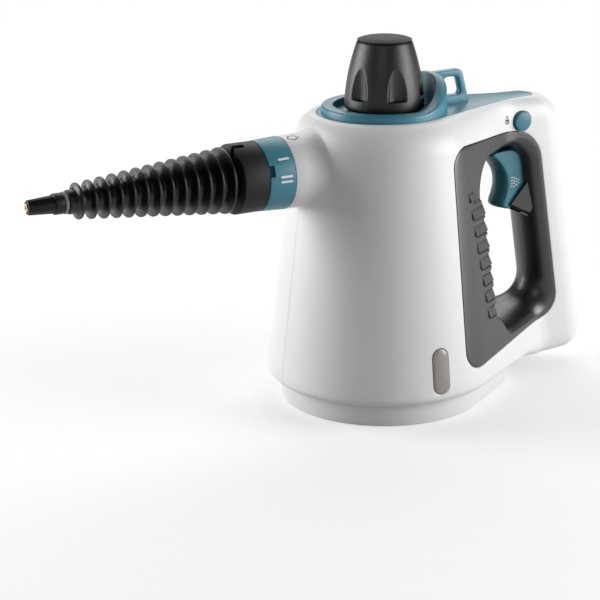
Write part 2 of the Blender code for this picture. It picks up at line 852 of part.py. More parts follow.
def shell_rows():
    """Rows of points of the outer surface of one half, from the sole up to the deck, for +Y."""
    columns = sum(HALF_STEPS) + 1
    foot = np.zeros((columns, 3))
    opening = base_outline(BASE_DRAFT + GAP)
    meet = len(opening) - 1
    foot[:meet + 1, :2] = opening
    foot[meet:, 0] = np.linspace(opening[-1][0], TAIL_SEAM_X, columns - meet)
    foot[:, 2] = [sole_z(x) for x in foot[:, 0]]
    edge = np.zeros((columns, 3))
    for column in range(columns):
        z = mix(EDGE_Z, EDGE_TAIL_Z, tail_share(column))
        edge[column, :2] = body_outline(z)[column]
        edge[column, 2] = z
    into = inward(edge[:, :2])
    turned, under = edge.copy(), edge.copy()
    for column in range(columns):
        deep = mix(EDGE_IN, EDGE_TAIL_IN, tail_share(column))
        under[column, :2] += into[column] * deep
        under[column, 2] = sole_z(under[column, 0])
        turned[column, :2] += into[column] * deep * (1 - math.sqrt(HALF_SHARE))
        turned[column, 2] = mix(edge[column, 2], under[column, 2], math.sqrt(HALF_SHARE))
    rows = [foot, under, turned, edge]
    spring = np.array([[*body_outline(shoulder_z(c))[c], shoulder_z(c)] for c in range(columns)])
    for i in range(1, RISE_TURNS):
        rise = mix(edge[:, 2], spring[:, 2], i / RISE_TURNS)
        rows.append(np.array([[*body_outline(rise[c])[c], rise[c]] for c in range(columns)]))
    rows.append(spring)
    top = deck_outline()
    for i in range(1, SHOULDER_TURNS + 1):
        turn = math.pi / 2 * i / SHOULDER_TURNS
        row = spring.copy()
        row[:, :2] += (top - spring[:, :2]) * (1 - math.cos(turn))
        row[:, 2] += (DECK_Z - spring[:, 2]) * math.sin(turn)
        rows.append(row)
    return np.array(rows)


def wall_normals(rows):
    """Outward directions of a grid whose side columns lie on the middle plane."""
    flip = np.array((1, -1, 1))
    before = np.concatenate((rows[:, 1:2] * flip, rows[:, :-1]), axis=1)
    after = np.concatenate((rows[:, 1:], rows[:, -2:-1] * flip), axis=1)
    up = np.gradient(rows, axis=0)
    out = np.cross(after - before, up)
    out[0] = (0, 0, -1)
    out[-1] = (0, 0, 1)
    out /= np.linalg.norm(out, axis=2)[:, :, None]
    sideways = out[1:-1]
    wrong = ((rows[1:-1] - np.array(WALL_MIDDLE)) * sideways).sum(axis=2).mean() < 0
    if wrong:
        out[1:-1] *= -1
    return out


def shell_half(name, side):
    """One half of the housing: a lofted wall with its neck, posts and openings."""
    rows = shell_rows()
    inner = rows - wall_normals(rows) * WALL
    scale = np.array((1, side, 1))
    points = np.concatenate((rows, inner)).reshape(-1, 3) * scale
    high, wide = rows.shape[:2]
    total = high * wide
    faces = []
    for row in range(high - 1):
        for column in range(wide - 1):
            a = row * wide + column
            quad = (a, a + 1, a + wide + 1, a + wide)
            faces.append(quad)
            faces.append(tuple(total + i for i in reversed(quad)))
    ring = [column for column in range(wide)]
    ring += [row * wide + wide - 1 for row in range(1, high)]
    ring += [(high - 1) * wide + column for column in range(wide - 2, -1, -1)]
    ring += [row * wide for row in range(high - 2, 0, -1)]
    for a, b in zip(ring, ring[1:] + ring[:1]):
        faces.append((a, b, total + b, total + a))
    shell = solid(name, points, faces)
    change(shell, neck(name), "UNION", "MANIFOLD")
    for x, z in SCREW_PLACES:
        change(shell, post(name, x, z, side), "UNION", "MANIFOLD")
    change(shell, neck_bore(name), "DIFFERENCE", "MANIFOLD")
    change(shell, panel_cut(name, side), "DIFFERENCE", "MANIFOLD")
    for x, z in SCREW_PLACES:
        change(shell, post_bore(name, x, z, side), "DIFFERENCE", "MANIFOLD")
    change(shell, gland_cut(name), "DIFFERENCE", "MANIFOLD")
    return shell


def neck(name):
    """The round outlet neck with its flare into the body."""
    profile = [(0, NECK_BACK_X), (NECK_BACK_R, NECK_BACK_X)]
    for i in range(FLARE_TURNS + 1):
        share = 1 - i / FLARE_TURNS
        r = mix(NECK_R, NECK_FLARE_R, share ** FLARE_POWER)
        profile.append((r, mix(NECK_STRAIGHT_X, NECK_FLARE_X, share)))
    profile += [(NECK_R, NECK_X), (0, NECK_X)]
    return lathe(name + "_neck", profile, "X", (0, 0, NOZZLE_Z), LATHE_STEPS, True)


def neck_bore(name):
    """The stepped hole in the neck, with the rib that keeps the spigot flange in."""
    groove = SPIGOT_FLANGE_X - GAP
    rib = SPIGOT_FLANGE_END_X + GAP
    profile = (
        (0, NECK_BACK_X + OVER), (NECK_BORE, NECK_BACK_X + OVER), (NECK_BORE, rib + NECK_RIB),
        (NECK_RIB_HOLE, rib + NECK_RIB), (NECK_RIB_HOLE, rib), (NECK_BORE, rib), (NECK_BORE, groove),
        (NECK_HOLE, groove), (NECK_HOLE, NECK_X - OVER), (0, NECK_X - OVER),
    )
    return lathe(name + "_neck_bore", profile, "X", (0, 0, NOZZLE_Z), LATHE_STEPS, True)


def far_side(name, side):
    """The space past the middle plane."""
    low = (-REACH, -SPLIT if side < 0 else -REACH, -REACH)
    high = (REACH, REACH if side < 0 else SPLIT, REACH)
    return block(name + "_far_side", low, high, True)


def post(name, x, z, side):
    """A screw post from the middle plane to the side wall, its end following the wall."""
    rings = []
    for share in (0, 1):
        ring = []
        for i in range(SMALL_STEPS):
            turn = math.tau * i / SMALL_STEPS
            px, pz = x + POST_R * math.cos(turn), z + POST_R * math.sin(turn)
            ring.append((px, side * share * (body_half(px, pz) - WALL * POST_SINK), pz))
        rings.append(ring)
    return stack(f"{name}_post_{z}", rings, True)


def post_bore(name, x, z, side):
    """The screw hole of a post, with the head pocket on the right half."""
    if side < 0:
        profile = ((0, OVER), (POST_BLIND_R, OVER), (POST_BLIND_R, POST_BLIND_Y), (0, POST_BLIND_Y))
    else:
        far = body_half(x, z) + OVER
        profile = ((0, far), (HEAD_POCKET_R, far), (HEAD_POCKET_R, HEAD_Y), (POST_BORE_R, HEAD_Y),
                   (POST_BORE_R, -OVER), (0, -OVER))
    return lathe(f"{name}_post_bore_{z}", profile, "Y", (x, 0, z), TINY_STEPS, True)


def rounded(corners, radii, out=0):
    """Closed outline with an arc at each corner and points along each side, moved out by a distance."""
    corners = np.array(corners)
    count = len(corners)
    points = []
    for i in range(count):
        here, back, on = corners[i], corners[i - 1], corners[(i + 1) % count]
        to_back = (back - here) / np.linalg.norm(back - here)
        to_on = (on - here) / np.linalg.norm(on - here)
        half = math.acos(float(to_back @ to_on)) / 2
        middle = (to_back + to_on) / np.linalg.norm(to_back + to_on)
        centre = here + middle * radii[i] / math.sin(half)
        first = here + to_back * radii[i] / math.tan(half) - centre
        last = here + to_on * radii[i] / math.tan(half) - centre
        span = math.pi - 2 * half
        for k in range(CORNER_STEPS + 1):
            share = k / CORNER_STEPS
            blend = (first * math.sin((1 - share) * span) + last * math.sin(share * span)) / math.sin(span)
            points.append(centre + blend * (radii[i] + out) / radii[i])
    laced = []
    arc = CORNER_STEPS + 1
    for i in range(count):
        own = points[i * arc:(i + 1) * arc]
        following = points[((i + 1) % count) * arc]
        laced += own
        laced += [mix(own[-1], following, k / SIDE_STEPS) for k in range(1, SIDE_STEPS)]
    return np.array(laced)


def prism(name, outline, low, high, tool=False, axis="Y"):
    """A closed outline drawn out between two places along an axis."""
    rings = []
    for y in (low, high):
        if axis == "Y":
            rings.append([(x, y, z) for x, z in outline])
        else:
            rings.append([(x, z, y) for x, z in outline])
    return stack(name, rings, tool)


def panel_cut(name, side):
    """The opening in the side of the housing for the grip liner."""
    outline = rounded(PANEL_CORNERS, PANEL_RADII, GAP)
    return prism(name + "_panel", outline, 0, side * REACH, True)


def gland_cut(name):
    """The hole in the rear wall for the cord gland."""
    return rod(name + "_gland_hole", GLAND_R + GAP, GLAND_FRONT_X, GLAND_BACK_X + OVER, "X",
               (0, 0, GLAND_Z), SMALL_STEPS, True)


def make_shells():
    """Both housing halves, with the openings that only one of them has."""
    left = shell_half("shell_left", -1)
    right = shell_half("shell_right", 1)
    at = (LOCK_X, 0, LOCK_Z)
    near = rod("lock_hole", LOCK_R + GAP, -FAR_OVER, -PLATE_Y / 2, "Y", at, LATHE_STEPS, True)
    far = rod("lock_far_hole", LOCK_FAR_R + GAP, PLATE_Y / 2, FAR_OVER, "Y", at, SMALL_STEPS, True)
    change(left, near, "DIFFERENCE", "MANIFOLD")
    change(left, lens_body("lens_hole", GAP, OVER, True), "DIFFERENCE", "MANIFOLD")
    change(right, far, "DIFFERENCE", "MANIFOLD")
    for shell, side in ((left, -1), (right, 1)):
        change(shell, far_side(shell.name, side), "DIFFERENCE", "MANIFOLD")
    weld(left, right)
    coat(paint("shell_white", SHELL_WHITE), left, right)


def base_ring(out, z):
    """Whole outline of the base at a height."""
    half = base_outline(out)
    whole = [(x, y, z) for x, y in half]
    whole += [(x, -y, z) for x, y in half[-2:0:-1]]
    return whole


def make_base():
    """The base cover: foot wall, floor, lip held between the halves, and the boiler stand."""
    lip_z = SOLE_Z + WALL + GAP
    rings = [
        base_ring(-BASE_CHAMFER, 0), base_ring(0, BASE_CHAMFER), base_ring(BASE_DRAFT, lip_z),
        base_ring(BASE_DRAFT + BASE_LIP_OUT, lip_z), base_ring(BASE_DRAFT + BASE_LIP_OUT, lip_z + BASE_LIP_H),
        base_ring(BASE_DRAFT - BASE_WALL, lip_z + BASE_LIP_H), base_ring(-BASE_WALL, BASE_FLOOR),
    ]
    base = stack("base_cover", rings)
    stand = tube("boiler_stand", STAND_R, STAND_R - STAND_WALL, BASE_FLOOR / 2, STAND_Z, tool=True)
    change(base, stand, "UNION")
    coat(paint("base_white", SHELL_WHITE), base)


def whole_deck(out, z):
    """Whole outline of the deck at a height."""
    half = deck_outline(out)
    whole = [(x, y, z) for x, y in half]
    whole += [(x, -y, z) for x, y in half[-2:0:-1]]
    return whole


def rim_height(x):
    """Height of the collar rim, which rises behind the cap into a hood."""
    share = min(max((x - HOOD_START_X) / (HOOD_FULL_X - HOOD_START_X), 0), 1)
    return mix(RIM_Z, HOOD_Z, share * share * (3 - 2 * share))


def collar():
    """The filler collar and its hood, one section at each angle."""
    rings = []
    for i in range(COLLAR_STEPS):
        turn = math.tau * i / COLLAR_STEPS
        top = rim_height(COLLAR_R * math.cos(turn))
        outer = COLLAR_R - COLLAR_TAPER * (top - DECK_Z)
        section = (
            (COLLAR_R, COLLAR_FOOT_Z), (outer, top - CREASE), (outer - CREASE, top),
            (COLLAR_IN_R + CREASE, top + CREASE / 2), (COLLAR_IN_R, top - CREASE / 2),
            (COLLAR_IN_R, COLLAR_FOOT_Z),
        )
        rings.append([(r * math.cos(turn), r * math.sin(turn), z) for r, z in section])
    return torus("collar_ring", rings, True)


def make_top_cover():
    """Deck, collar, hood and hanging loop in one piece."""
    ledge = DECK_Z - DECK_PLATE - DECK_LEDGE_DROP
    rings = [
        whole_deck(DECK_LEDGE_OUT, ledge - DECK_LEDGE), whole_deck(DECK_LEDGE_OUT, ledge),
        whole_deck(-GAP, ledge), whole_deck(-GAP, DECK_Z),
    ]
    cover = stack("top_cover", rings)
    change(cover, collar(), "UNION")
    plate = prism("loop_plate", rounded(LOOP_CORNERS, LOOP_RADII), -LOOP_HALF, LOOP_HALF, True)
    change(cover, plate, "UNION")
    change(cover, prism("loop_eye", rounded(EYE_CORNERS, EYE_RADII), -OVER, OVER, True))
    change(cover, rod("well_hole", WELL_R, DECK_Z - OVER, DECK_Z + GAP, steps=LATHE_STEPS, tool=True))
    coat(paint("cover_teal", TEAL), cover)


def roll_share(index, count):
    """Share of the flange width taken by the rolled edge, going round the liner."""
    place = index / count * len(ROLL_SHARES)
    marks = np.arange(len(ROLL_SHARES) + 1) + CORNER_STEPS / 2 / count * len(ROLL_SHARES)
    values = (*ROLL_SHARES, ROLL_SHARES[0])
    return float(np.interp(place, marks, values, period=len(ROLL_SHARES)))


def roll(share):
    """Height share of the rolled edge at a share of its width."""
    return math.sqrt(max(1 - (1 - min(share, 1)) ** 2, 0))


def liner_section(hole, edge, share):
    """Closed section of the liner between the hole wall and the panel edge, as (way out, half width)."""
    width = float(np.linalg.norm(edge - hole))
    away = (edge - hole) / width
    radius = width * share
    back_radius = max(radius - LINER, DOUBLE_GAP)

    def place(out, drop, lift):
        x, z = hole + away * out
        return (x, (skin(x, z) - drop) * lift, z)

    section = [place(radius * s, 0, roll(s)) for s in ROLL_STEP_SHARES]
    section.append(place(width, 0, 1))
    section.append(place(width, LIP_DROP, 1))
    section.append(place(width + LIP_OUT, LIP_DROP, 1))
    section.append(place(width + LIP_OUT, LIP_DROP + LIP, 1))
    section += [place(LINER + back_radius * s, LIP_DROP + LIP, roll(s)) for s in reversed(ROLL_BACK_SHARES)]
    return section


def make_liner(name, side):
    """One grip liner: the flange in the panel, the rolled edge and the wall of the finger hole."""
    holes = rounded(HOLE_CORNERS, HOLE_RADII)
    edges = rounded(PANEL_CORNERS, PANEL_RADII)
    count = len(holes)
    rings = []
    for i in range(count):
        section = liner_section(holes[i], edges[i], roll_share(i, count))
        rings.append([(x, side * max(y, SPLIT), z) for x, y, z in section])
    liner = torus(name, rings)
    boss_reach = sorted((side * PIVOT_BOSS_Y, side * PIVOT_BOSS_END_Y))
    boss = rod(name + "_boss", PIVOT_BOSS_R, *boss_reach, "Y", PIVOT, SMALL_STEPS, True)
    low = (SLOT_FRONT_X, -SLOT_HALF, SLOT_FOOT_Z)
    high = (SLOT_BACK_X, SLOT_HALF, SLOT_TOP_Z)
    change(liner, block(name + "_slot", low, high, True))
    change(liner, boss, "UNION")
    blind = sorted((side * SLOT_HALF / 2, side * PIVOT_BLIND_Y))
    change(liner, rod(name + "_pin_hole", PIN_HOLE_R, *blind, "Y", PIVOT, SMALL_STEPS, True))
    for i in range(RIB_COUNT):
        change(liner, rib_groove(name, i, side))
    for part in guard(name, side):
        change(liner, part, "UNION")
    weld(liner)
    return liner


def make_liners():
    """Both grip liners."""
    left, right = make_liner("grip_liner_left", -1), make_liner("grip_liner_right", 1)
    coat(paint("liner_grey", LINER_GREY), left, right)


def guard(name, side):
    """The sill under the trigger and the gusset beside its slot."""
    sill = [(GUARD_FRONT_X, GUARD_TOP_Z), (GUARD_SILL_BACK_X, GUARD_TOP_Z), (GUARD_SILL_BACK_X, GUARD_FOOT_Z)]
    near = ((GUARD_FRONT_X, GUARD_NOSE_Z), (GUARD_BACK_X, GUARD_PEAK_Z), (GUARD_BACK_X, GUARD_FOOT_Z))
    far = ((GUARD_END_X, GUARD_NOSE_Z), (GUARD_BACK_X, GUARD_PEAK_Z), (GUARD_BACK_X, GUARD_FOOT_Z))
    gusset = [[(x, side * y, z) for x, z in outline]
              for y, outline in ((SLOT_HALF, near), (GUARD_END_Y, far))]
    return (prism(name + "_sill", sill, side * SPLIT, side * (SLOT_HALF + GUARD_LAP), True),
            stack(name + "_gusset", gusset, True))


def rib_groove(name, index, side):
    """One level groove in the flange beside the hole."""
    share = index / (RIB_COUNT - 1)
    z = mix(RIB_TOP_Z, RIB_FOOT_Z, share)
    first = mix(RIB_TOP_X, RIB_FOOT_X, share)
    last = mix(RIB_TOP_END_X, RIB_FOOT_END_X, share)
    rings = []
    for x in (first, last):
        y = body_half(x, z)
        half = RIB_H / 2
        corners = ((-RIB_DEEP, -half), (RIB_CUT, -half), (RIB_CUT, half), (-RIB_DEEP, half))
        rings.append([(x, side * (y + out), z + up) for out, up in corners])
    return stack(f"{name}_groove_{index}", rings, True)


def make_trigger():
    """The trigger blade with its rounded front, its hub and the arm for the valve rod."""
    rings = []
    shares = [*TRIGGER_STATION_SHARES, *(-s for s in TRIGGER_STATION_SHARES[-2::-1])]
    for share in shares:
        ring = []
        for i, (x, z) in enumerate(TRIGGER_SHAPE):
            bulge = TRIGGER_BULGE * (1 - share * share) if i < TRIGGER_FRONT_POINTS else 0
            if i in (0, TRIGGER_FRONT_POINTS - 1):
                bulge *= TRIGGER_END_SHARE
            ring.append((x - bulge, share * TRIGGER_HALF, z))
        rings.append(ring)
    trigger = stack("trigger", rings)
    low = (ARM_FRONT_X, ARM_INNER_Y, ARM_BOTTOM_Z)
    high = (ARM_BACK_X, ARM_OUTER_Y, ARM_TOP_Z)
    change(trigger, block("trigger_arm", low, high, True), "UNION")
    change(trigger, rod("trigger_eye", PIN_HOLE_R, -OVER, OVER, "Y", PIVOT, SMALL_STEPS, True))
    seat(trigger, PIVOT)
    coat(paint("trigger_teal", TEAL), trigger)


def make_trigger_parts():
    """Pin and spring of the trigger."""
    pin = rod("trigger_pin", PIN_R, -PIN_HALF, PIN_HALF, "Y", PIVOT, SMALL_STEPS)
    spring = coil("trigger_spring", TRIGGER_COIL_R, COIL_WIRE, TRIGGER_COIL_TURNS, TRIGGER_COIL_FRONT_X,
                  TRIGGER_COIL_BACK_X, "X", (0, 0, TRIGGER_COIL_Z))
    coat(STEEL, pin, spring)


def make_lock():
    """The lock bolt that crosses the handle, with the button face on the left."""
    profile = (
        (0, LOCK_FAR_Y), (LOCK_FAR_R, LOCK_FAR_Y), (LOCK_FAR_R, LOCK_SHOULDER_Y),
        (LOCK_WAIST_R, LOCK_SHOULDER_Y), (LOCK_WAIST_R, -LOCK_SHOULDER_Y), (LOCK_R, -LOCK_SHOULDER_Y),
        (LOCK_R, LOCK_FRONT_Y + LOCK_ROUND), (LOCK_R - LOCK_ROUND, LOCK_FRONT_Y), (0, LOCK_FRONT_Y),
    )
    bolt = lathe("lock_button", profile, "Y", (LOCK_X, 0, LOCK_Z), LATHE_STEPS)
    seat(bolt, (LOCK_X, 0, LOCK_Z))
    coat(paint("lock_teal", TEAL), bolt)


def lens_ring(share, out, proud):
    """A long oval on the sloping side wall."""
    half = (LENS_HALF + out) * share
    high = LENS_HIGH_Z - LENS_HALF
    low = LENS_LOW_Z + LENS_HALF
    middle = (high + low) / 2
    points = []
    for centre, begin in ((high, 0), (low, math.pi)):
        for i in range(LENS_TURNS + 1):
            turn = begin + math.pi * i / LENS_TURNS
            z = mix(middle, centre, share) + half * math.sin(turn)
            points.append((LENS_X + half * math.cos(turn), -cone_r(z) - proud, z))
    return points


def lens_body(name, out, proud, tool):
    """The lens shape, or a larger copy of it that cuts its hole."""
    rings = [lens_ring(1, out, -LENS_CUT if tool else -LENS_DEEP), lens_ring(1, out, proud)]
    if not tool:
        rings.append(lens_ring(LENS_CROWN_SHARE, out, proud + LENS_CROWN))
    return stack(name, rings, tool)


def make_lens():
    """The indicator lens and the lamp behind it."""
    lens = lens_body("indicator_lens", 0, LENS_PROUD, False)
    coat(paint("lens_smoke", LENS_GREY), lens)
    front = -cone_r(LAMP_Z + LAMP_R) + LENS_DEEP + DOUBLE_GAP
    lamp = rod("pilot_lamp", LAMP_R, front, front + LAMP_LENGTH, "Y", (LENS_X, 0, LAMP_Z), SMALL_STEPS)
    coat(paint("lamp_amber", LAMP_COLOUR), lamp)


def knob_radius(share):
    """Bell curve of the cap knob, from its hem to its top."""
    return mix(KNOB_FOOT_R, KNOB_TOP_R, share ** KNOB_BELL_POWER)


def grip_depth(turn, share):
    """Depth of the finger grips: flat floor at the foot, pointed arch at the top."""
    pitch = math.tau / GRIP_COUNT
    away = (turn - GRIP_FIRST + pitch / 2) % pitch - pitch / 2
    rise = (share - GRIP_LOW_SHARE) / (GRIP_HIGH_SHARE - GRIP_LOW_SHARE)
    if rise < 0 or rise > 1:
        return 0
    wide = GRIP_HALF_ANGLE * math.sqrt(1 - rise ** GRIP_ARCH_POWER)
    if abs(away) >= wide:
        return 0
    return GRIP_DEEP * (1 - rise ** GRIP_FLOOR_POWER) * math.sqrt(1 - (away / wide) ** 2)


def make_knob():
    """The cap knob with its six grips and the pockets under it."""
    turns = [math.tau * i / KNOB_STEPS for i in range(KNOB_STEPS)]
    rings = [[(KNOB_HEM_R * math.cos(turn), KNOB_HEM_R * math.sin(turn), KNOB_Z) for turn in turns]]
    for share in KNOB_RISE_SHARES:
        ring = []
        for turn in turns:
            r = knob_radius(share) - grip_depth(turn, share)
            ring.append((r * math.cos(turn), r * math.sin(turn), mix(KNOB_HEM_Z, KNOB_TOP_Z, share)))
        rings.append(ring)
    knob = stack("cap_knob", rings)
    pocket = (
        (0, CORE_TOP_Z + GAP), (CORE_BORE_R, CORE_TOP_Z + GAP), (CORE_BORE_R, FLANGE_POCKET_Z),
        (FLANGE_POCKET_R, FLANGE_POCKET_Z), (FLANGE_POCKET_R, KNOB_Z - OVER), (0, KNOB_Z - OVER),
    )
    change(knob, lathe("knob_pocket", pocket, steps=LATHE_STEPS, tool=True))
    change(knob, rod("disc_socket", DISC_PIN_R + GAP, DISC_PIN_Z - GAP, KNOB_TOP_Z + OVER, tool=True))
    coat(paint("cap_charcoal", CHARCOAL), knob)


def make_cap_parts():
    """Top disc, core, gasket and relief valve of the cap."""
    dome = []
    for i in range(DISC_TURNS + 1):
        turn = math.pi / 2 * i / DISC_TURNS
        dome.append((DISC_R * math.sin(turn), mix(DISC_EDGE_Z, DISC_TOP_Z, math.cos(turn))))
    disc = lathe("cap_top_disc", [
        *dome, (DISC_R, DISC_Z), (DISC_PIN_R, DISC_Z), (DISC_PIN_R, DISC_PIN_Z), (0, DISC_PIN_Z)])
    coat(paint("disc_charcoal", CHARCOAL), disc)
    core = lathe("cap_core", (
        (0, CORE_TOP_Z), (CORE_R, CORE_TOP_Z), (CORE_R, CORE_FLANGE_TOP_Z),
        (CORE_FLANGE_R, CORE_FLANGE_TOP_Z), (CORE_FLANGE_R, CORE_FLANGE_Z), (PLUG_R, CORE_FLANGE_Z),
        (PLUG_R, PLUG_Z), (RELIEF_HOLE_R, PLUG_Z),
        (RELIEF_HOLE_R, RELIEF_SEAT_Z), (RELIEF_BORE_R, RELIEF_SEAT_Z), (RELIEF_BORE_R, RELIEF_BORE_TOP_Z),
        (0, RELIEF_BORE_TOP_Z)), steps=CORE_STEPS)
    coat(paint("core_natural", NATURAL_COLOUR), core)
    gasket = tube("cap_gasket", GASKET_OUT_R, GASKET_IN_R, GASKET_Z, GASKET_TOP_Z)
    seal = tube("filler_seal", SEAL_OUT_R, SEAL_IN_R, DECK_Z + GAP, DECK_Z + GAP + SEAL_H)
    coat(RUBBER, gasket, seal)
    head = RELIEF_SEAT_Z + GAP
    relief = lathe("relief_valve", (
        (0, RELIEF_STEM_Z), (RELIEF_STEM_R, RELIEF_STEM_Z), (RELIEF_STEM_R, RELIEF_HEAD_Z),
        (RELIEF_R, RELIEF_HEAD_Z), (RELIEF_R, head), (0, head)), steps=SMALL_STEPS)
    coat(BRASS, relief)
    spring = coil("relief_spring", RELIEF_COIL_R, RELIEF_WIRE, RELIEF_COIL_TURNS, RELIEF_HEAD_Z + GAP,
                  RELIEF_BORE_TOP_Z - GAP, "Z", (0, 0, 0))
    coat(STEEL, spring)


def turned_box(name, turn, half, low_r, high_r, low_x, high_x):
    """A cutter box standing out from the nozzle axis."""
    along = np.array((1, 0, 0))
    out = np.array((0, -math.cos(turn), math.sin(turn)))
    over = np.cross(out, along)
    centre = np.array((0, 0, NOZZLE_Z))
    rings = []
    for r in (low_r, high_r):
        ring = []
        for x, side in ((low_x, -half), (high_x, -half), (high_x, half), (low_x, half)):
            ring.append(tuple(centre + along * x + out * r + over * side))
        rings.append(ring)
    return stack(name, rings, True)


def make_ring():
    """The steam ring with its notch, and the spigot that turns with it."""
    back = NECK_X - GAP
    ring = lathe("steam_ring", ((RING_BORE_R, back), (RING_BACK_R, back), (RING_FRONT_R, RING_FRONT_X),
                                (RING_BORE_R, RING_FRONT_X)), "X", (0, 0, NOZZLE_Z), RING_STEPS)
    change(ring, turned_box("ring_notch", NOTCH_ANGLE, NOTCH_HALF, NOTCH_FLOOR_R, RING_BACK_R + NOTCH_CUT,
                            RING_FRONT_X - NOTCH_CUT, RING_FRONT_X + NOTCH_DEEP))
    seat(ring, (NECK_X, 0, NOZZLE_Z))
    coat(paint("ring_teal", TEAL), ring)
    spigot = lathe("outlet_spigot", (
        (SPIGOT_BORE_R, SPIGOT_TAIL_X), (SPIGOT_TAIL_R, SPIGOT_TAIL_X),
        (SPIGOT_TAIL_R, SPIGOT_FLANGE_END_X), (SPIGOT_FLANGE_R, SPIGOT_FLANGE_END_X),
        (SPIGOT_FLANGE_R, SPIGOT_FLANGE_X), (SPIGOT_R, SPIGOT_FLANGE_X), (SPIGOT_R, SPIGOT_FRONT_X),
        (SPIGOT_CUP_R, SPIGOT_FRONT_X), (SPIGOT_CUP_R, SPIGOT_CUP_X),
        (SPIGOT_BORE_R, SPIGOT_CUP_X)), "X", (0, 0, NOZZLE_Z), LATHE_STEPS)
    lug = turned_box("spigot_lug", LUG_ANGLE, LUG_HALF, LUG_FOOT_R, LUG_TOP_R, LUG_X, LUG_END_X)
    change(spigot, lug, "UNION")
    seat(spigot, (NECK_X, 0, NOZZLE_Z))
    coat(paint("spigot_black", CHARCOAL), spigot)


def make_holder():
    """The black collar that plugs the nozzle on, with its latch window."""
    holder = lathe("nozzle_collar", (
        (HOLD_BORE_R, HOLD_BACK_X), (HOLD_R, HOLD_BACK_X), (HOLD_R, HOLD_FRONT_X),
        (HOLD_HOLE_R, HOLD_FRONT_X), (HOLD_HOLE_R, HOLD_WALL_X), (HOLD_BORE_R, HOLD_WALL_X)),
        "X", (0, 0, NOZZLE_Z), RING_STEPS)
    change(holder, turned_box("latch_window", LUG_ANGLE, LATCH_HALF, LATCH_FLOOR_R, HOLD_R + NOTCH_CUT,
                              LATCH_FRONT_X, LATCH_BACK_X))
    change(holder, turned_box("latch_way", LUG_ANGLE, LATCH_HALF, LATCH_FLOOR_R, LUG_TOP_R + GAP,
                              LATCH_BACK_X - LATCH_LAP, HOLD_BACK_X + NOTCH_CUT))
    coat(paint("collar_black", CHARCOAL), holder)


def make_cone():
    """The ribbed cone nozzle: discs of falling size on a tapering core."""
    core = CORE_SHARE * (DISC_FIRST_R + DISC_GROWTH * RIB_LAST)
    profile = [(CONE_PLUG_R, CONE_PLUG_X), (CONE_PLUG_R, CONE_BACK_X), (core, CONE_BACK_X)]
    for i in range(RIB_LAST, -1, -1):
        x = DISC_FIRST_X + DISC_PITCH * i
        r = DISC_FIRST_R + DISC_GROWTH * i
        half = (DISC_THICK if i else DISC_FIRST_THICK) / 2
        core, rim = CORE_SHARE * r, half * DISC_RIM_SHARE
        profile += [(core, x + half), (r, x + rim), (r, x - rim), (core, x - half)]
    profile += [(CONE_FRONT_R, CONE_FRONT_X), (CONE_BORE_R, CONE_FRONT_X), (CONE_BORE_R, CONE_PLUG_X)]
    cone = lathe("cone_nozzle", profile, "X", (0, 0, NOZZLE_Z), CONE_STEPS)
    coat(paint("nozzle_black", NOZZLE_BLACK), cone)


def make_tip():
    """Seal ring, faceted tip and jet insert at the front of the nozzle."""
    ring = tube("nozzle_seal_ring", SEAL_RING_R, SEAL_RING_IN_R, SEAL_RING_FRONT_X, SEAL_RING_BACK_X, "X",
                (0, 0, NOZZLE_Z), SMALL_STEPS)
    coat(paint("seal_grey", SEAL_GREY), ring)
    tip = lathe("nozzle_tip", (
        (0, TIP_STEM_X), (TIP_STEM_R, TIP_STEM_X), (TIP_STEM_R, TIP_STEP_X), (TIP_STEP_R, TIP_STEP_X),
        (TIP_STEP_R, TIP_NECK_X), (TIP_BACK_R, TIP_NECK_X), (TIP_FRONT_R, TIP_FRONT_X),
        (TIP_BORE_R, TIP_FRONT_X), (TIP_BORE_R, TIP_BORE_X), (0, TIP_BORE_X)),
        "X", (0, 0, NOZZLE_Z), TIP_STEPS)
    coat(paint("tip_black", NOZZLE_BLACK), tip)
    blind = JET_FRONT_X + JET_HOLE
    jet = lathe("jet_insert", (
        (0, JET_BACK_X), (JET_R, JET_BACK_X), (JET_R, JET_FRONT_X + JET_ROUND),
        (JET_R - JET_ROUND, JET_FRONT_X), (JET_HOLE_R, JET_FRONT_X), (JET_HOLE_R, blind), (0, blind)),
        "X", (0, 0, NOZZLE_Z), SMALL_STEPS)
    coat(BRASS, jet)


def bolt_places():
    """Four places on the flange of the boiler."""
    turns = [math.pi / 4 + math.pi / 2 * i for i in range(4)]
    return [(BOLT_CIRCLE_R * math.cos(turn), BOLT_CIRCLE_R * math.sin(turn), 0) for turn in turns]


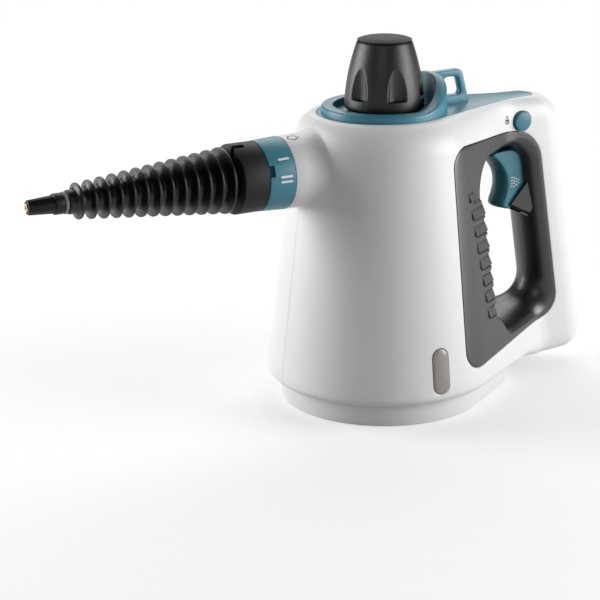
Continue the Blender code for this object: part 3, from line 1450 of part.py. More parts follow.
def make_boiler():
    """Lower cup, dome with filler neck, gasket and flange screws."""
    r, inner, gasket_z = BOILER_R, BOILER_R - BOILER_WALL, FLANGE_TOP_Z + GAP
    floor = BOILER_Z + BOILER_WALL
    cup = lathe("boiler_lower", (
        (0, floor), (inner - BOILER_ROUND, floor), (inner, floor + BOILER_ROUND), (inner, FLANGE_TOP_Z),
        (FLANGE_R, FLANGE_TOP_Z), (FLANGE_R, FLANGE_Z), (r, FLANGE_Z), (r, BOILER_Z + BOILER_ROUND),
        (r - BOILER_ROUND, BOILER_Z), (0, BOILER_Z)))
    gasket = tube("boiler_gasket", FLANGE_R, inner, gasket_z, gasket_z + GASKET_H)
    foot = gasket_z + GASKET_H + GAP
    outer_dome, inner_dome = [], []
    for i in range(DOME_TURNS + 1):
        turn = math.pi / 2 * i / DOME_TURNS
        out_r = mix(r, FILLER_R, 1 - math.cos(turn))
        outer_dome.append((out_r, mix(DOME_FOOT_Z, DOME_Z, math.sin(turn))))
        in_r = mix(inner, FILLER_BORE_R, 1 - math.cos(turn))
        inner_dome.append((in_r, mix(DOME_FOOT_Z, DOME_Z - BOILER_WALL, math.sin(turn))))
    rim = foot + BOILER_WALL
    profile = [
        (FILLER_BORE_R, FILLER_TOP_Z), (FILLER_R, FILLER_TOP_Z), *reversed(outer_dome), (r, rim),
        (FLANGE_R, rim), (FLANGE_R, foot), (inner, foot), *inner_dome]
    dome = lathe("boiler_upper", profile)
    port = (PORT_X, 0, 0)
    change(dome, rod("port_boss", PORT_R, PORT_FOOT_Z, PORT_Z, at=port, tool=True), "UNION")
    change(dome, rod("port_bore", PORT_BORE_R, PORT_FOOT_Z - OVER, PORT_Z + OVER, at=port, tool=True))
    coat(paint("boiler_alloy", ALLOY_COLOUR, METAL), cup, dome)
    head_z, tail_z = rim + GAP, FLANGE_Z - BOLT_TAIL
    for i, place in enumerate(bolt_places()):
        hole = rod(f"bolt_hole_{i}", BOLT_HOLE_R, FLANGE_Z - BOLT_CUT, rim + BOLT_CUT, "Z", place,
                   TINY_STEPS, True)
        for body in (cup, gasket, dome):
            change(body, hole)
        bolt = lathe(f"flange_screw_{i + 1}", (
            (0, head_z + BOLT_HEAD), (BOLT_HEAD_R, head_z + BOLT_HEAD), (BOLT_HEAD_R, head_z),
            (BOLT_R, head_z), (BOLT_R, tail_z), (0, tail_z)), "Z", place, TINY_STEPS)
        coat(STEEL, bolt)
    weld(dome)
    coat(RUBBER, gasket)


def make_heater():
    """Heater plate, thermostat and thermal fuse under the boiler."""
    top = BOILER_Z - GAP
    low = top - HEATER
    plate = rod("heater_plate", HEATER_R, low, top, steps=LATHE_STEPS)
    coat(ALLOY, plate)
    thermostat = rod("thermostat", THERMOSTAT_R, low - GAP - THERMOSTAT_H, low - GAP, at=(THERMOSTAT_X, 0, 0))
    coat(NATURAL, thermostat)
    fuse = rod("thermal_fuse", FUSE_R, -FUSE_HALF, FUSE_HALF, "Y", (FUSE_X, 0, low - GAP - FUSE_R))
    coat(ALLOY, fuse)


def make_valve():
    """Valve body, stem, spring and the rod that comes from the trigger."""
    body = lathe("valve_body", (
        (0, VALVE_BACK_X), (VALVE_R, VALVE_BACK_X), (VALVE_R, VALVE_FRONT_X), (VALVE_BORE_R, VALVE_FRONT_X),
        (VALVE_BORE_R, VALVE_BLIND_X), (0, VALVE_BLIND_X)), "X", (0, 0, NOZZLE_Z), SMALL_STEPS)
    at = (0, STEM_Y, STEM_Z)
    change(body, rod("valve_guide", GUIDE_R, GUIDE_FRONT_X, GUIDE_BACK_X, "X", at, tool=True), "UNION")
    low = (BRIDGE_FRONT_X, BRIDGE_LEFT_Y, BRIDGE_LOW_Z)
    change(body, block("valve_bridge", low, (BRIDGE_BACK_X, BRIDGE_Y, BRIDGE_HIGH_Z), True), "UNION")
    stub = rod("valve_stub", VALVE_STUB_R, PORT_Z + GAP, NOZZLE_Z, at=(PORT_X, 0, 0), tool=True)
    change(body, stub, "UNION")
    change(body, rod("stem_bore", STEM_HOLE_R, STEM_BORE_END_X, GUIDE_BACK_X + OVER, "X", at, tool=True))
    weld(body)
    coat(BRASS, body)
    head = STEM_BACK_X - STEM_HEAD
    stem = lathe("valve_stem", (
        (0, STEM_BACK_X), (STEM_HEAD_R, STEM_BACK_X), (STEM_HEAD_R, head), (STEM_R, head),
        (STEM_R, STEM_FRONT_X), (0, STEM_FRONT_X)), "X", at, SMALL_STEPS)
    seat(stem, (STEM_BACK_X, STEM_Y, STEM_Z))
    spring = coil("valve_spring", VALVE_COIL_R, COIL_WIRE, VALVE_COIL_TURNS, GUIDE_BACK_X + GAP,
                  head - GAP, "X", at)
    end = ARM_FRONT_X - GAP
    line = wire("valve_rod", [(STEM_BACK_X + GAP, STEM_Y, STEM_Z), (ROD_BEND_X, STEM_Y, STEM_Z),
                              (ROD_BEND_END_X, ROD_NEAR_Y, STEM_Z), (end, ROD_NEAR_Y, STEM_Z)], ROD_R)
    seat(line, (STEM_BACK_X, STEM_Y, STEM_Z))
    coat(STEEL, stem, spring, line)


def make_wiring():
    """Terminal block and cord gland."""
    low = (BLOCK_X, -BLOCK_WIDTH / 2, BASE_FLOOR + GAP)
    high = (BLOCK_X + BLOCK_LENGTH, BLOCK_WIDTH / 2, BASE_FLOOR + GAP + BLOCK_H)
    terminal = block("terminal_block", low, high)
    coat(NATURAL, terminal)
    gland = lathe("cord_gland", (
        (GLAND_BORE_R, GLAND_BACK_X), (GLAND_R, GLAND_BACK_X), (GLAND_R, GLAND_COLLAR_X),
        (GLAND_COLLAR_R, GLAND_COLLAR_X), (GLAND_COLLAR_R, GLAND_COLLAR_X - GLAND_COLLAR),
        (GLAND_R, GLAND_COLLAR_X - GLAND_COLLAR), (GLAND_R, GLAND_FRONT_X), (GLAND_BORE_R, GLAND_FRONT_X)),
        "X", (0, 0, GLAND_Z), SMALL_STEPS)
    coat(RUBBER, gland)


def make_screws():
    """The four screws that hold the halves together."""
    top = HEAD_Y + GAP
    for i, (x, z) in enumerate(SCREW_PLACES):
        screw = lathe(f"shell_screw_{i + 1}", (
            (0, top + SCREW_HEAD), (SCREW_HEAD_R, top + SCREW_HEAD), (SCREW_HEAD_R, top), (SCREW_R, top),
            (SCREW_R, SCREW_END_Y), (0, SCREW_END_Y)), "Y", (x, 0, z), TINY_STEPS)
        coat(STEEL, screw)


STEEL = paint("steel", STEEL_COLOUR, METAL)
ALLOY = paint("alloy", ALLOY_COLOUR, METAL)
BRASS = paint("brass", BRASS_COLOUR, METAL)
RUBBER = paint("rubber", RUBBER_COLOUR)
NATURAL = paint("natural_plastic", NATURAL_COLOUR)

make_shells()
make_base()
make_top_cover()
make_liners()
make_trigger()
make_trigger_parts()
make_lock()
make_lens()
make_knob()
make_cap_parts()
make_ring()
make_holder()
make_cone()
make_tip()
make_boiler()
make_heater()
make_valve()
make_wiring()
make_screws()
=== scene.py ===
# %% [markdown]
# # A handheld steam cleaner, dressed
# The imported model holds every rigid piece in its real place. This lesson gives it its looks: finer skins for
# the moulded housing, the grip, the cap and the ribbed nozzle, small moulded details, and finishes for every
# plastic, metal and rubber. Each surface is a grid of points worked out by a formula, so each cell shows one
# idea: a profile that is turned, an outline that is stacked, or a section that goes round an opening.

import json
import math

import bmesh
import bpy
import numpy as np
from mathutils import Matrix, Vector


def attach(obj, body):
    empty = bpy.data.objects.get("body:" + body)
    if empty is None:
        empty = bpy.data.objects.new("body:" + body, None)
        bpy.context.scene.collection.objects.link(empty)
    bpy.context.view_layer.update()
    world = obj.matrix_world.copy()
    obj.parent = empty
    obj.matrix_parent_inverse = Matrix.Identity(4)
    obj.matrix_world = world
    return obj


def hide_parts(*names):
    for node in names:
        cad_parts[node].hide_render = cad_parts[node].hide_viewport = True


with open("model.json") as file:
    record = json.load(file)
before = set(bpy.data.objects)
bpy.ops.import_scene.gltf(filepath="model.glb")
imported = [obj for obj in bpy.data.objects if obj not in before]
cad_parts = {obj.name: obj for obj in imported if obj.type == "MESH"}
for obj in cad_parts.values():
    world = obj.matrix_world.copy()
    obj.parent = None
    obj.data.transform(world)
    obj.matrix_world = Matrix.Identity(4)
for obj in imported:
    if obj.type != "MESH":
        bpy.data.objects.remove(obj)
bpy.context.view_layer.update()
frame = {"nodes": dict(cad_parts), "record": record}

# %% [markdown]
# ## Sizes
# The model is in metres: the floor is at zero, +X points to the handle and the nozzle points the other way.
# Profiles and places are written in millimetres and multiplied by MM. The body is a cone that narrows
# upwards, so its radius is a straight line in z. Sizes that several pieces share are named here, so a change
# to one of them reaches all its pieces.

# %% Sizes
MM = 0.001
GAP_MM, SPLIT_MM = 0.3, 0.15
GAP, SPLIT, WALL = GAP_MM * MM, SPLIT_MM * MM, 2.5 * MM
BODY_AT, NOZZLE_AT, GLAND_AT = (0, 0, 0), (0, 0, 155.4), (0, 0, 33)
LOCK_AT, PIVOT = (92.6, 0, 171.8), (98, 0, 161)
NOZZLE_Z = NOZZLE_AT[2] * MM
NECK_R = 22.5 * MM
BODY_R, CONE_SLOPE = 76.9 * MM, 0.12
FLANK, FILLET, PLATE = math.radians(31), 28 * MM, 18 * MM
REAR_X, REAR_SLOPE, REAR_END, REAR_POWER = 155.8 * MM, 0.161, 18.5 * MM, 2.2
DECK_Z = 185.5 * MM
DECK_SIDE_R, DECK_FRONT_R, DECK_FLANK = 40.2 * MM, 43.2 * MM, math.radians(20.6)
DECK_FILLET, DECK_PLATE = 100 * MM, 8.4 * MM
print("body radius at the floor:", BODY_R, "m")

# %% [markdown]
# ## Helpers that turn arrays into pieces
# A grid of points has rows and columns. Neighbouring points share a quad, and the grid may close on itself
# in either direction. The faces are worked out as whole arrays of indices, so no loop visits the points.
# Modifiers such as Screw or Solidify make many such shapes too, but a grid also holds the forms between
# them, such as a roll whose radius changes as it goes round.


# %% Grid helpers
def mix(a, b, share):
    """Goes from a to b by a share: a plus share times the difference."""
    return a + (b - a) * share


def smooth(value, low, high):
    """A soft step: 0 below low, 1 above high, and 3s squared minus 2s cubed of the share s between."""
    share = np.clip((value - low) / (high - low), 0, 1)
    return share * share * (3 - 2 * share)


def full_turn(steps):
    """Angles evenly spaced round a full turn."""
    return np.linspace(0, math.tau, steps, endpoint=False)


def quarter(steps):
    """Angles evenly spaced over a quarter turn, from 0 to 90 degrees."""
    return np.linspace(0, math.pi / 2, steps)


def upright(flat, y):
    """A flat outline, its pairs read as x and z, stood at one y or at a y for each point."""
    return np.column_stack((flat[:, 0], np.broadcast_to(y, len(flat)), flat[:, 1]))


def across_of(points):
    """Unit directions square to a closed flat line, one at each of its points."""
    along = np.roll(points, -1, axis=0) - np.roll(points, 1, axis=0)
    return np.column_stack((along[:, 1], -along[:, 0])) / np.linalg.norm(along, axis=1)[:, None]


def mirrored(half, middle=()):
    """Levels (y, growth) on one side, those on the middle plane, and the first ones again across it."""
    return [*half, *middle, *[(-y, out) for y, out in half[::-1]]]


def quads(rows, columns, wrap_rows=False, wrap_columns=False):
    """Indices of the four corners of each cell of a grid, row by row."""
    r = np.arange(rows if wrap_rows else rows - 1)[:, None]
    c = np.arange(columns if wrap_columns else columns - 1)[None, :]
    on, beside = (r + 1) % rows, (c + 1) % columns
    corners = (r * columns + c, r * columns + beside, on * columns + beside, on * columns + c)
    return np.stack(np.broadcast_arrays(*corners), axis=-1).reshape(-1, 4)


def tube_parts(rings):
    """Closed rings of points as one closed body, capped at its first and last ring."""
    grid = np.array(rings, float)
    rows, columns = grid.shape[:2]
    caps = (range(columns), range((rows - 1) * columns, rows * columns))
    return grid, [*quads(rows, columns, False, True), *caps]


def loop_parts(rings):
    """Closed rings of points whose last ring joins the first one again."""
    grid = np.array(rings, float)
    return grid, quads(*grid.shape[:2], True, True)


def clean(mesh, angle=32):
    """Merges doubles, points faces outwards, and keeps only edges sharper than an angle hard."""
    work = bmesh.new()
    work.from_mesh(mesh)
    bmesh.ops.remove_doubles(work, verts=work.verts, dist=0.002 * MM)
    bmesh.ops.dissolve_degenerate(work, edges=work.edges, dist=0.001 * MM)
    bmesh.ops.recalc_face_normals(work, faces=work.faces)
    work.to_mesh(mesh)
    work.free()
    mesh.polygons.foreach_set("use_smooth", np.ones(len(mesh.polygons), bool))
    mesh.set_sharp_from_angle(angle=math.radians(angle))
    return mesh


def body_from(name, parts, angle=32):
    """One object from (points, faces) pairs, with the points of all pairs in one list."""
    points, faces, count = [], [], 0
    for spots, cells in parts:
        spots = np.asarray(spots, float).reshape(-1, 3)
        points.append(spots)
        faces += [tuple(int(i) + count for i in cell) for cell in cells]
        count += len(spots)
    mesh = bpy.data.meshes.new(name)
    mesh.from_pydata(np.concatenate(points).tolist(), [], faces)
    obj = bpy.data.objects.new(name, clean(mesh, angle))
    bpy.context.scene.collection.objects.link(obj)
    return obj


def combine(obj, parts, how="DIFFERENCE"):
    """Cuts a body away from a piece, or joins it on, and works the result into the mesh."""
    tool = body_from("tool", [parts])
    step = obj.modifiers.new("Combine", "BOOLEAN")
    step.operation, step.solver, step.object = how, "MANIFOLD", tool
    graph = bpy.context.evaluated_depsgraph_get()
    made = bpy.data.meshes.new_from_object(obj.evaluated_get(graph))
    obj.modifiers.clear()
    old, obj.data = obj.data, made
    bpy.data.meshes.remove(old)
    bpy.data.objects.remove(tool)


def finish_mesh(obj):
    """Cleans a piece after its last cut."""
    clean(obj.data)
    print(obj.name, "faces:", len(obj.data.polygons))
    return obj


# %% [markdown]
# ## Turned pieces
# Most small pieces are turned: a profile of radius and height goes round an axis. Real mouldings have no
# knife edges, so every corner of a profile is first rounded: two points beside the corner are joined by a
# curve that is tangent to both sides. A Bevel modifier could round the finished piece, but rounding the few
# points of the profile is quicker and never folds.


# %% Turned surfaces
def soften(profile, radius, steps=3, closed=True):
    """Rounds each corner of a profile with a quadratic curve that starts and ends a radius away from it."""
    count = len(profile)
    out = []
    for i in range(count):
        here = profile[i]
        if not closed and i in (0, count - 1):
            out.append(here)
            continue
        before, after = profile[i - 1] - here, profile[(i + 1) % count] - here
        a, b = np.linalg.norm(before[:2]), np.linalg.norm(after[:2])
        if float(before[:2] @ after[:2]) / (a * b) < -0.985:
            out.append(here)
            continue
        first, last = here + before * min(radius / a, 0.45), here + after * min(radius / b, 0.45)
        t = np.linspace(0, 1, steps + 1)[:, None]
        out.extend((1 - t) ** 2 * first + 2 * t * (1 - t) * here + t ** 2 * last)
    return np.array(out)


ORDER = {"X": (2, 0, 1), "Y": (1, 2, 0), "Z": (0, 1, 2)}


def turned_parts(profile, axis, at, steps):
    """Points r cos t, r sin t, h for each (r, h) of a profile and each angle t, moved on to an axis."""
    turn = full_turn(steps)[None, :]
    r, h = profile[:, :1], profile[:, 1:]
    grid = np.stack((r * np.cos(turn), r * np.sin(turn), np.broadcast_to(h, (len(profile), steps))), axis=-1)
    grid = grid[..., ORDER[axis]] + np.array(at) * MM
    return grid, quads(len(profile), steps, profile[0][0] > 0, True)


def turned(name, profile, axis, at, steps, radius):
    """A turned piece with soft corners, in millimetres. Its profile ends on the axis, or closes on itself."""
    soft = soften(np.array(profile) * MM, radius * MM, 3, profile[0][0] > 0)
    return body_from(name, [turned_parts(soft, axis, at, steps)])


def bore(obj, profile, axis, at, steps=48, how="DIFFERENCE"):
    """Cuts a turned hole with plain corners, in millimetres, or joins a turned boss to a piece."""
    combine(obj, turned_parts(np.array(profile) * MM, axis, at, steps), how)


def around_nozzle(turn, r, x):
    """A place beside the nozzle axis, the angle counted from the left side upwards."""
    return np.stack(np.broadcast_arrays(x, -r * np.cos(turn), NOZZLE_Z + r * np.sin(turn)), axis=-1)


def box_parts(corners):
    """A box from its eight corners: four of one end, then the four across from them."""
    sides = [(i, (i + 1) % 4, (i + 1) % 4 + 4, i + 4) for i in range(4)]
    return np.array(corners), [(0, 1, 2, 3), (4, 5, 6, 7), *sides]


def beam(low, high):
    """A box between two corners in millimetres."""
    (a, b, c), (d, e, f) = np.array((low, high)) * MM
    return box_parts([(x, y, z) for z in (c, f) for x, y in ((a, b), (d, b), (d, e), (a, e))])


def nozzle_box(degrees, half, r_ends, x_ends):
    """A box in millimetres that stands out from the nozzle axis at an angle."""
    turn = math.radians(degrees)
    out = np.array((0, -math.cos(turn), math.sin(turn)))
    side = np.cross(out, (1, 0, 0)) * (half * MM)
    ends = ((x_ends[0], -1), (x_ends[1], -1), (x_ends[1], 1), (x_ends[0], 1))
    return box_parts([np.array((x * MM, 0, NOZZLE_Z)) + out * (r * MM) + side * s
                      for r in r_ends for x, s in ends])


print("helpers ready")

# %% [markdown]
# ## Finishes
# Moulded plastic is never one flat colour. Its tool leaves a fine spark-eroded grain, its gloss varies a
# little from place to place, and its colour drifts by a per cent or two. Three noises on object coordinates
# do this: a fine one for the bump, a broad one for the gloss and a very broad one for the colour. Pictures
# could do it as well, but noises need no unwrapping and stay sharp from close by.


# %% Plastic
def feed(tree, made, inputs):
    """Fills the inputs of a node: a socket is linked to its input, and anything else is set as its value."""
    for key, value in inputs.items():
        if isinstance(value, bpy.types.NodeSocket):
            tree.links.new(value, made.inputs[key])
        else:
            made.inputs[key].default_value = value
    return made


def add(tree, kind, inputs):
    """A new shader node with its inputs filled."""
    return feed(tree, tree.nodes.new("ShaderNode" + kind), inputs)


def start(name, colour):
    """A new material, its tree of nodes and the object coordinates that its patterns read."""
    finish = bpy.data.materials.new(name)
    finish.use_nodes = True
    finish.diffuse_color = (*colour, 1)
    return finish, finish.node_tree, add(finish.node_tree, "TexCoord", {}).outputs["Object"]


def shade(tree, inputs):
    """Fills the inputs of the material's own shader."""
    feed(tree, tree.nodes["Principled BSDF"], inputs)


def noise(tree, where, scale, detail):
    """A noise of a given number of waves a metre."""
    return add(tree, "TexNoise", {"Scale": scale, "Detail": detail, "Vector": where}).outputs["Fac"]


def ranged(tree, value, low, high):
    """Stretches a value from 0..1 on to low..high."""
    return add(tree, "MapRange", {"To Min": low, "To Max": high, "Value": value}).outputs["Result"]


def reckoned(tree, how, a, b):
    """Two values joined by one sum, such as their product or the larger of them."""
    made = add(tree, "Math", {0: a, 1: b})
    made.operation = how
    return made.outputs[0]


def tint(tree, value, colour, drift):
    """A colour that drifts by a share to either side with a value."""
    made = tree.nodes.new("ShaderNodeMix")
    made.data_type = "RGBA"
    less, more = [(*[min(c * (1 + way * drift), 1) for c in colour], 1) for way in (-1, 1)]
    return feed(tree, made, {6: less, 7: more, "Factor": value}).outputs[2]


def bump(tree, value, strength, depth):
    """Turns a value into small hills of a real depth in millimetres."""
    hills = add(tree, "Bump", {"Strength": strength, "Distance": depth * MM, "Height": value})
    return hills.outputs["Normal"]


def plastic(name, colour, rough, grain, depth, drift, specular=0.5, coat=0.0):
    """A moulded plastic: fine grain, slightly uneven gloss and colour."""
    finish, tree, where = start(name, colour)
    shade(tree, {
        "Base Color": tint(tree, noise(tree, where, 35, 3), colour, drift),
        "Roughness": ranged(tree, noise(tree, where, 260, 4), rough - 0.05, rough + 0.05),
        "Normal": bump(tree, noise(tree, where, grain, 3), 0.35, depth),
        "Specular IOR Level": specular, "Coat Weight": coat, "Coat Roughness": 0.25})
    return finish


TEAL = (0.050, 0.215, 0.290)
# Painted shade: the trigger and the lock are the same teal plastic as the cover. Their darker copy of it tones
# down how brightly the lamps light them.
TEAL_PAINTED_SHADE = (0.033, 0.175, 0.238)
PLASTICS = (
    ("shell_white", (0.80, 0.80, 0.805), 0.40, 2600, 0.012, 0.012),
    ("base_white", (0.78, 0.78, 0.785), 0.44, 2600, 0.012, 0.012),
    ("cover_teal", TEAL, 0.34, 2400, 0.014, 0.04),
    # The trigger and the lock take the teal darkened by painted shade.
    ("trigger_teal", TEAL_PAINTED_SHADE, 0.38, 2400, 0.016, 0.04),
    ("lock_teal", TEAL_PAINTED_SHADE, 0.34, 2400, 0.012, 0.04),
    ("ring_teal", TEAL, 0.40, 2400, 0.016, 0.04),
    ("liner_grey", (0.009, 0.009, 0.0092), 0.36, 1900, 0.020, 0.05, 0.85),
    ("cap_charcoal", (0.006, 0.0055, 0.0055), 0.43, 1500, 0.03, 0.06, 0.55),
    ("disc_charcoal", (0.017, 0.0155, 0.0155), 0.60, 1500, 0.02, 0.06, 0.25),
    ("collar_black", (0.008, 0.0072, 0.0072), 0.55, 1300, 0.03, 0.08, 0.3),
    ("nozzle_black", (0.006, 0.006, 0.0065), 0.36, 1500, 0.03, 0.06, 0.4),
    ("tip_black", (0.005, 0.005, 0.0055), 0.40, 1500, 0.02, 0.06, 0.25),
    ("spigot_black", (0.014, 0.013, 0.013), 0.5, 1500, 0.02, 0.06),
    ("core_natural", (0.70, 0.68, 0.62), 0.5, 1800, 0.02, 0.03),
    ("natural_plastic", (0.70, 0.68, 0.62), 0.5, 1800, 0.02, 0.03),
    ("print_white", (0.82, 0.83, 0.83), 0.5, 3000, 0.004, 0.02),
    ("print_dark", (0.03, 0.03, 0.032), 0.5, 3000, 0.004, 0.05),
    ("lamp_amber", (0.75, 0.20, 0.05), 0.25, 900, 0.01, 0.1, 0.5, 0.5),
)
FINISHES = {row[0]: plastic(*row) for row in PLASTICS}
print("plastics:", len(FINISHES))

# %% [markdown]
# ## Rubber, metal and the smoked lens
# Rubber is dull, with a coarser skin. Turned metal shows rings round its axis and pressed steel shows faint
# stretched scratches: the same noise does both once it is squeezed along one direction. The window over the
# lamp is a smoked plastic with fine dots in rows, which are the product of two waves.


# %% Rubber and metal
def rubber(name, colour, rough):
    """A dull rubber with a coarse, soft skin."""
    finish, tree, where = start(name, colour)
    broad = noise(tree, where, 90, 4)
    shade(tree, {
        "Base Color": tint(tree, broad, colour, 0.15),
        "Roughness": ranged(tree, broad, rough - 0.08, rough + 0.08),
        "Normal": bump(tree, noise(tree, where, 1200, 5), 0.5, 0.04), "Specular IOR Level": 0.35})
    return finish


def metal(name, colour, rough, stretch, anisotropy=0.4):
    """A metal whose fine scratches run along the axis where stretch is smallest."""
    finish, tree, where = start(name, colour)
    squeezed = add(tree, "Mapping", {"Scale": stretch, "Vector": where}).outputs["Vector"]
    lines = noise(tree, squeezed, 900, 4)
    shade(tree, {
        "Base Color": tint(tree, lines, colour, 0.08),
        "Roughness": ranged(tree, lines, rough - 0.1, rough + 0.1),
        "Normal": bump(tree, lines, 0.3, 0.02), "Metallic": 1, "Anisotropic": anisotropy})
    return finish


def smoked(name, colour, rough):
    """A smoked window with fine dots in rows: one sine wave along X times one along Z."""
    finish, tree, where = start(name, colour)
    waves = []
    for way in ("X", "Z"):
        wave = add(tree, "TexWave", {"Scale": 190, "Vector": where})
        wave.bands_direction = way
        waves.append(wave.outputs["Fac"])
    dots = reckoned(tree, "MULTIPLY", *waves)
    shade(tree, {
        "Base Color": tint(tree, dots, colour, 0.22),
        "Roughness": ranged(tree, noise(tree, where, 1800, 4), rough - 0.06, rough + 0.06),
        "Normal": bump(tree, dots, 0.3, 0.02), "Coat Weight": 0.6, "Coat Roughness": 0.12})
    return finish


for kind, row in (
        (rubber, ("rubber", (0.028, 0.028, 0.029), 0.75)), (rubber, ("seal_grey", (0.23, 0.23, 0.235), 0.55)),
        (metal, ("steel", (0.56, 0.56, 0.57), 0.30, (1, 1, 0.15))),
        (metal, ("alloy", (0.60, 0.61, 0.62), 0.38, (0.4, 0.4, 1))),
        (metal, ("boiler_alloy", (0.60, 0.61, 0.62), 0.42, (0.3, 0.3, 1), 0.2)),
        (metal, ("brass", (0.60, 0.49, 0.31), 0.30, (1, 0.2, 0.2))),
        (smoked, ("lens_smoke", (0.30, 0.275, 0.265), 0.35))):
    FINISHES[row[0]] = kind(*row)
print("finishes:", len(FINISHES))

# %% [markdown]
# ## Carried-over pieces
# Springs, screws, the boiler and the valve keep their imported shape, since it is right as it is. Each takes
# the finish of its slot, so nothing inside is left in a plain colour.


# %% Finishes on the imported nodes
def coat(obj, finish):
    """Gives a piece one finish and no other."""
    obj.data.materials.clear()
    obj.data.materials.append(FINISHES[finish])


def dress(obj, slot, body, *nodes):
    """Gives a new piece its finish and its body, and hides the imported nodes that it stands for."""
    coat(obj, slot)
    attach(obj, body)
    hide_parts(*nodes)


for part in frame["record"]["subparts"]:
    coat(frame["nodes"][part["node"]], part["material_slot"])

# %% [markdown]
# ## The outline of the body
# Seen from above, one half of the housing is five stretches: the round front, a straight flank, a hollow
# fillet, the flat side of the handle and a rounded tail. A curve could be drawn for each height, but such
# curves would hardly agree. Here every height uses the same five stretches with its own radius, so the rows
# of the grid line up and the wall can be joined row by row.

# %% Outline functions
STRETCHES = (56, 10, 18, 6, 20)
COARSE = (12, 3, 4, 2, 5)
KIND = np.concatenate([np.full(n + (k == 0), k) for k, n in enumerate(STRETCHES)])
PART = np.concatenate([np.arange(k > 0, n + 1) / n for k, n in enumerate(STRETCHES)])
PLACE = np.array([sum(COARSE[:k]) for k in KIND]) + PART * np.array(COARSE)[KIND]
LAST_PLACE = sum(COARSE)


def half_width(x, r, angle, fillet, plate):
    """A circle, its tangent line, a hollow fillet and a flat plate, one after the other along x."""
    meet = (r - plate * np.cos(angle)) / np.sin(angle)
    run = fillet * np.tan(angle / 2)
    round_part = np.sqrt(np.clip(r * r - x * x, 0, None))
    flank = (r - x * np.sin(angle)) / np.cos(angle)
    bend = plate + fillet - np.sqrt(np.clip(fillet ** 2 - (meet + run - x) ** 2, 0, None))
    late = np.where(x <= meet - run * np.cos(angle), flank, np.where(x <= meet + run, bend, plate))
    return np.where(x <= r * np.sin(angle), round_part, late)


def lace(r, front_r, angle, fillet, plate, stops, end, end_x):
    """Half outline through the five stretches; the tail is a rounded box curve of power 2.2."""
    turn = mix(math.pi, math.pi / 2 - angle, PART)
    arc_x = np.where(np.cos(turn) < 0, front_r, r) * np.cos(turn)
    first, last = r * np.sin(angle), end_x - end
    low = np.where(KIND == 1, first, np.where(KIND == 2, stops[0], stops[1]))
    high = np.where(KIND == 1, stops[0], np.where(KIND == 2, stops[1], last))
    x = mix(low, high, PART)
    wide = half_width(last, r, angle, fillet, plate)
    bow = math.pi / 2 * PART
    tail_x = last + end * np.sin(bow) ** (2 / REAR_POWER)
    tail_y = wide * np.clip(np.cos(bow), 0, None) ** (2 / REAR_POWER) * (PART < 1)
    middle = half_width(x, r, angle, fillet, plate)
    out_x = np.where(KIND == 0, arc_x, np.where(KIND == 4, tail_x, x))
    out_y = np.where(KIND == 0, r * np.sin(turn), np.where(KIND == 4, tail_y, middle))
    return out_x, out_y


def cone_r(z):
    """Radius of the round body at a height: 76.9 mm less 0.12 of the height."""
    return BODY_R - CONE_SLOPE * z


def body_outline(z):
    """Half outline of the body at a height, or at one height for each column."""
    r = cone_r(z)
    meet = (r - PLATE * math.cos(FLANK)) / math.sin(FLANK)
    run = FILLET * math.tan(FLANK / 2)
    stops = (meet - run * math.cos(FLANK), meet + run)
    return lace(r, r, FLANK, FILLET, PLATE, stops, REAR_END, REAR_X - REAR_SLOPE * z)


def deck_outline(out=0.0):
    """Half outline of the deck on top, moved out by a distance."""
    return lace(DECK_SIDE_R + out, DECK_FRONT_R + out, DECK_FLANK, DECK_FILLET, DECK_PLATE + out,
                (70 * MM, 92 * MM), 8 * MM, 110.5 * MM + out)


SHOULDER_MARKS = (0, 6, 12, 19, 21, LAST_PLACE)
SHOULDER_HEIGHTS = np.array((157, 164, 164, 172, 172, 161)) * MM


def shoulder(place):
    """Height where the wall starts to turn in, along the outline."""
    return np.interp(place, SHOULDER_MARKS, SHOULDER_HEIGHTS)


def soft_shoulder(place):
    """The same heights, averaged over a short stretch so that the edge of the shoulder has no corners."""
    away = np.abs(place + np.linspace(-0.5, 0.5, 9)[:, None])
    return shoulder(np.clip(away, 0, 2 * LAST_PLACE - away)).mean(axis=0)


def body_half(x, z):
    """Half width of the body at a place, tail included."""
    wide = half_width(x, cone_r(z), FLANK, FILLET, PLATE)
    past = np.clip((x - (REAR_X - REAR_SLOPE * z - REAR_END)) / REAR_END, 0, 1)
    return wide * (1 - past ** REAR_POWER) ** (1 / REAR_POWER)


def skin(x, z):
    """Half width of the housing at a place on its side, with the shoulder that turns in to the deck."""
    columns = KIND < 4
    turn_z = np.interp(x, body_outline(164 * MM)[0][columns], shoulder(PLACE)[columns])
    deck_wide = half_width(x, DECK_SIDE_R, DECK_FLANK, DECK_FILLET, DECK_PLATE)
    rise = np.clip((z - turn_z) / (DECK_Z - turn_z), 0, 1)
    return mix(body_half(x, z), deck_wide, 1 - np.sqrt(1 - rise * rise))


print("columns of one half:", len(KIND))

# %% [markdown]
# ## The wall of one half
# Rows go from the opening for the base, under the edge, up the cone and over the shoulder to the deck. The
# edge at the bottom and the shoulder are quarter ellipses. The inner face is the outer one moved in along
# its own normals by the wall of 2.5 mm, so the half is a real shell, as an injection moulding is. A Solidify
# modifier would do the same, but it would tilt the wall's ends at the middle plane, where the two halves
# meet.


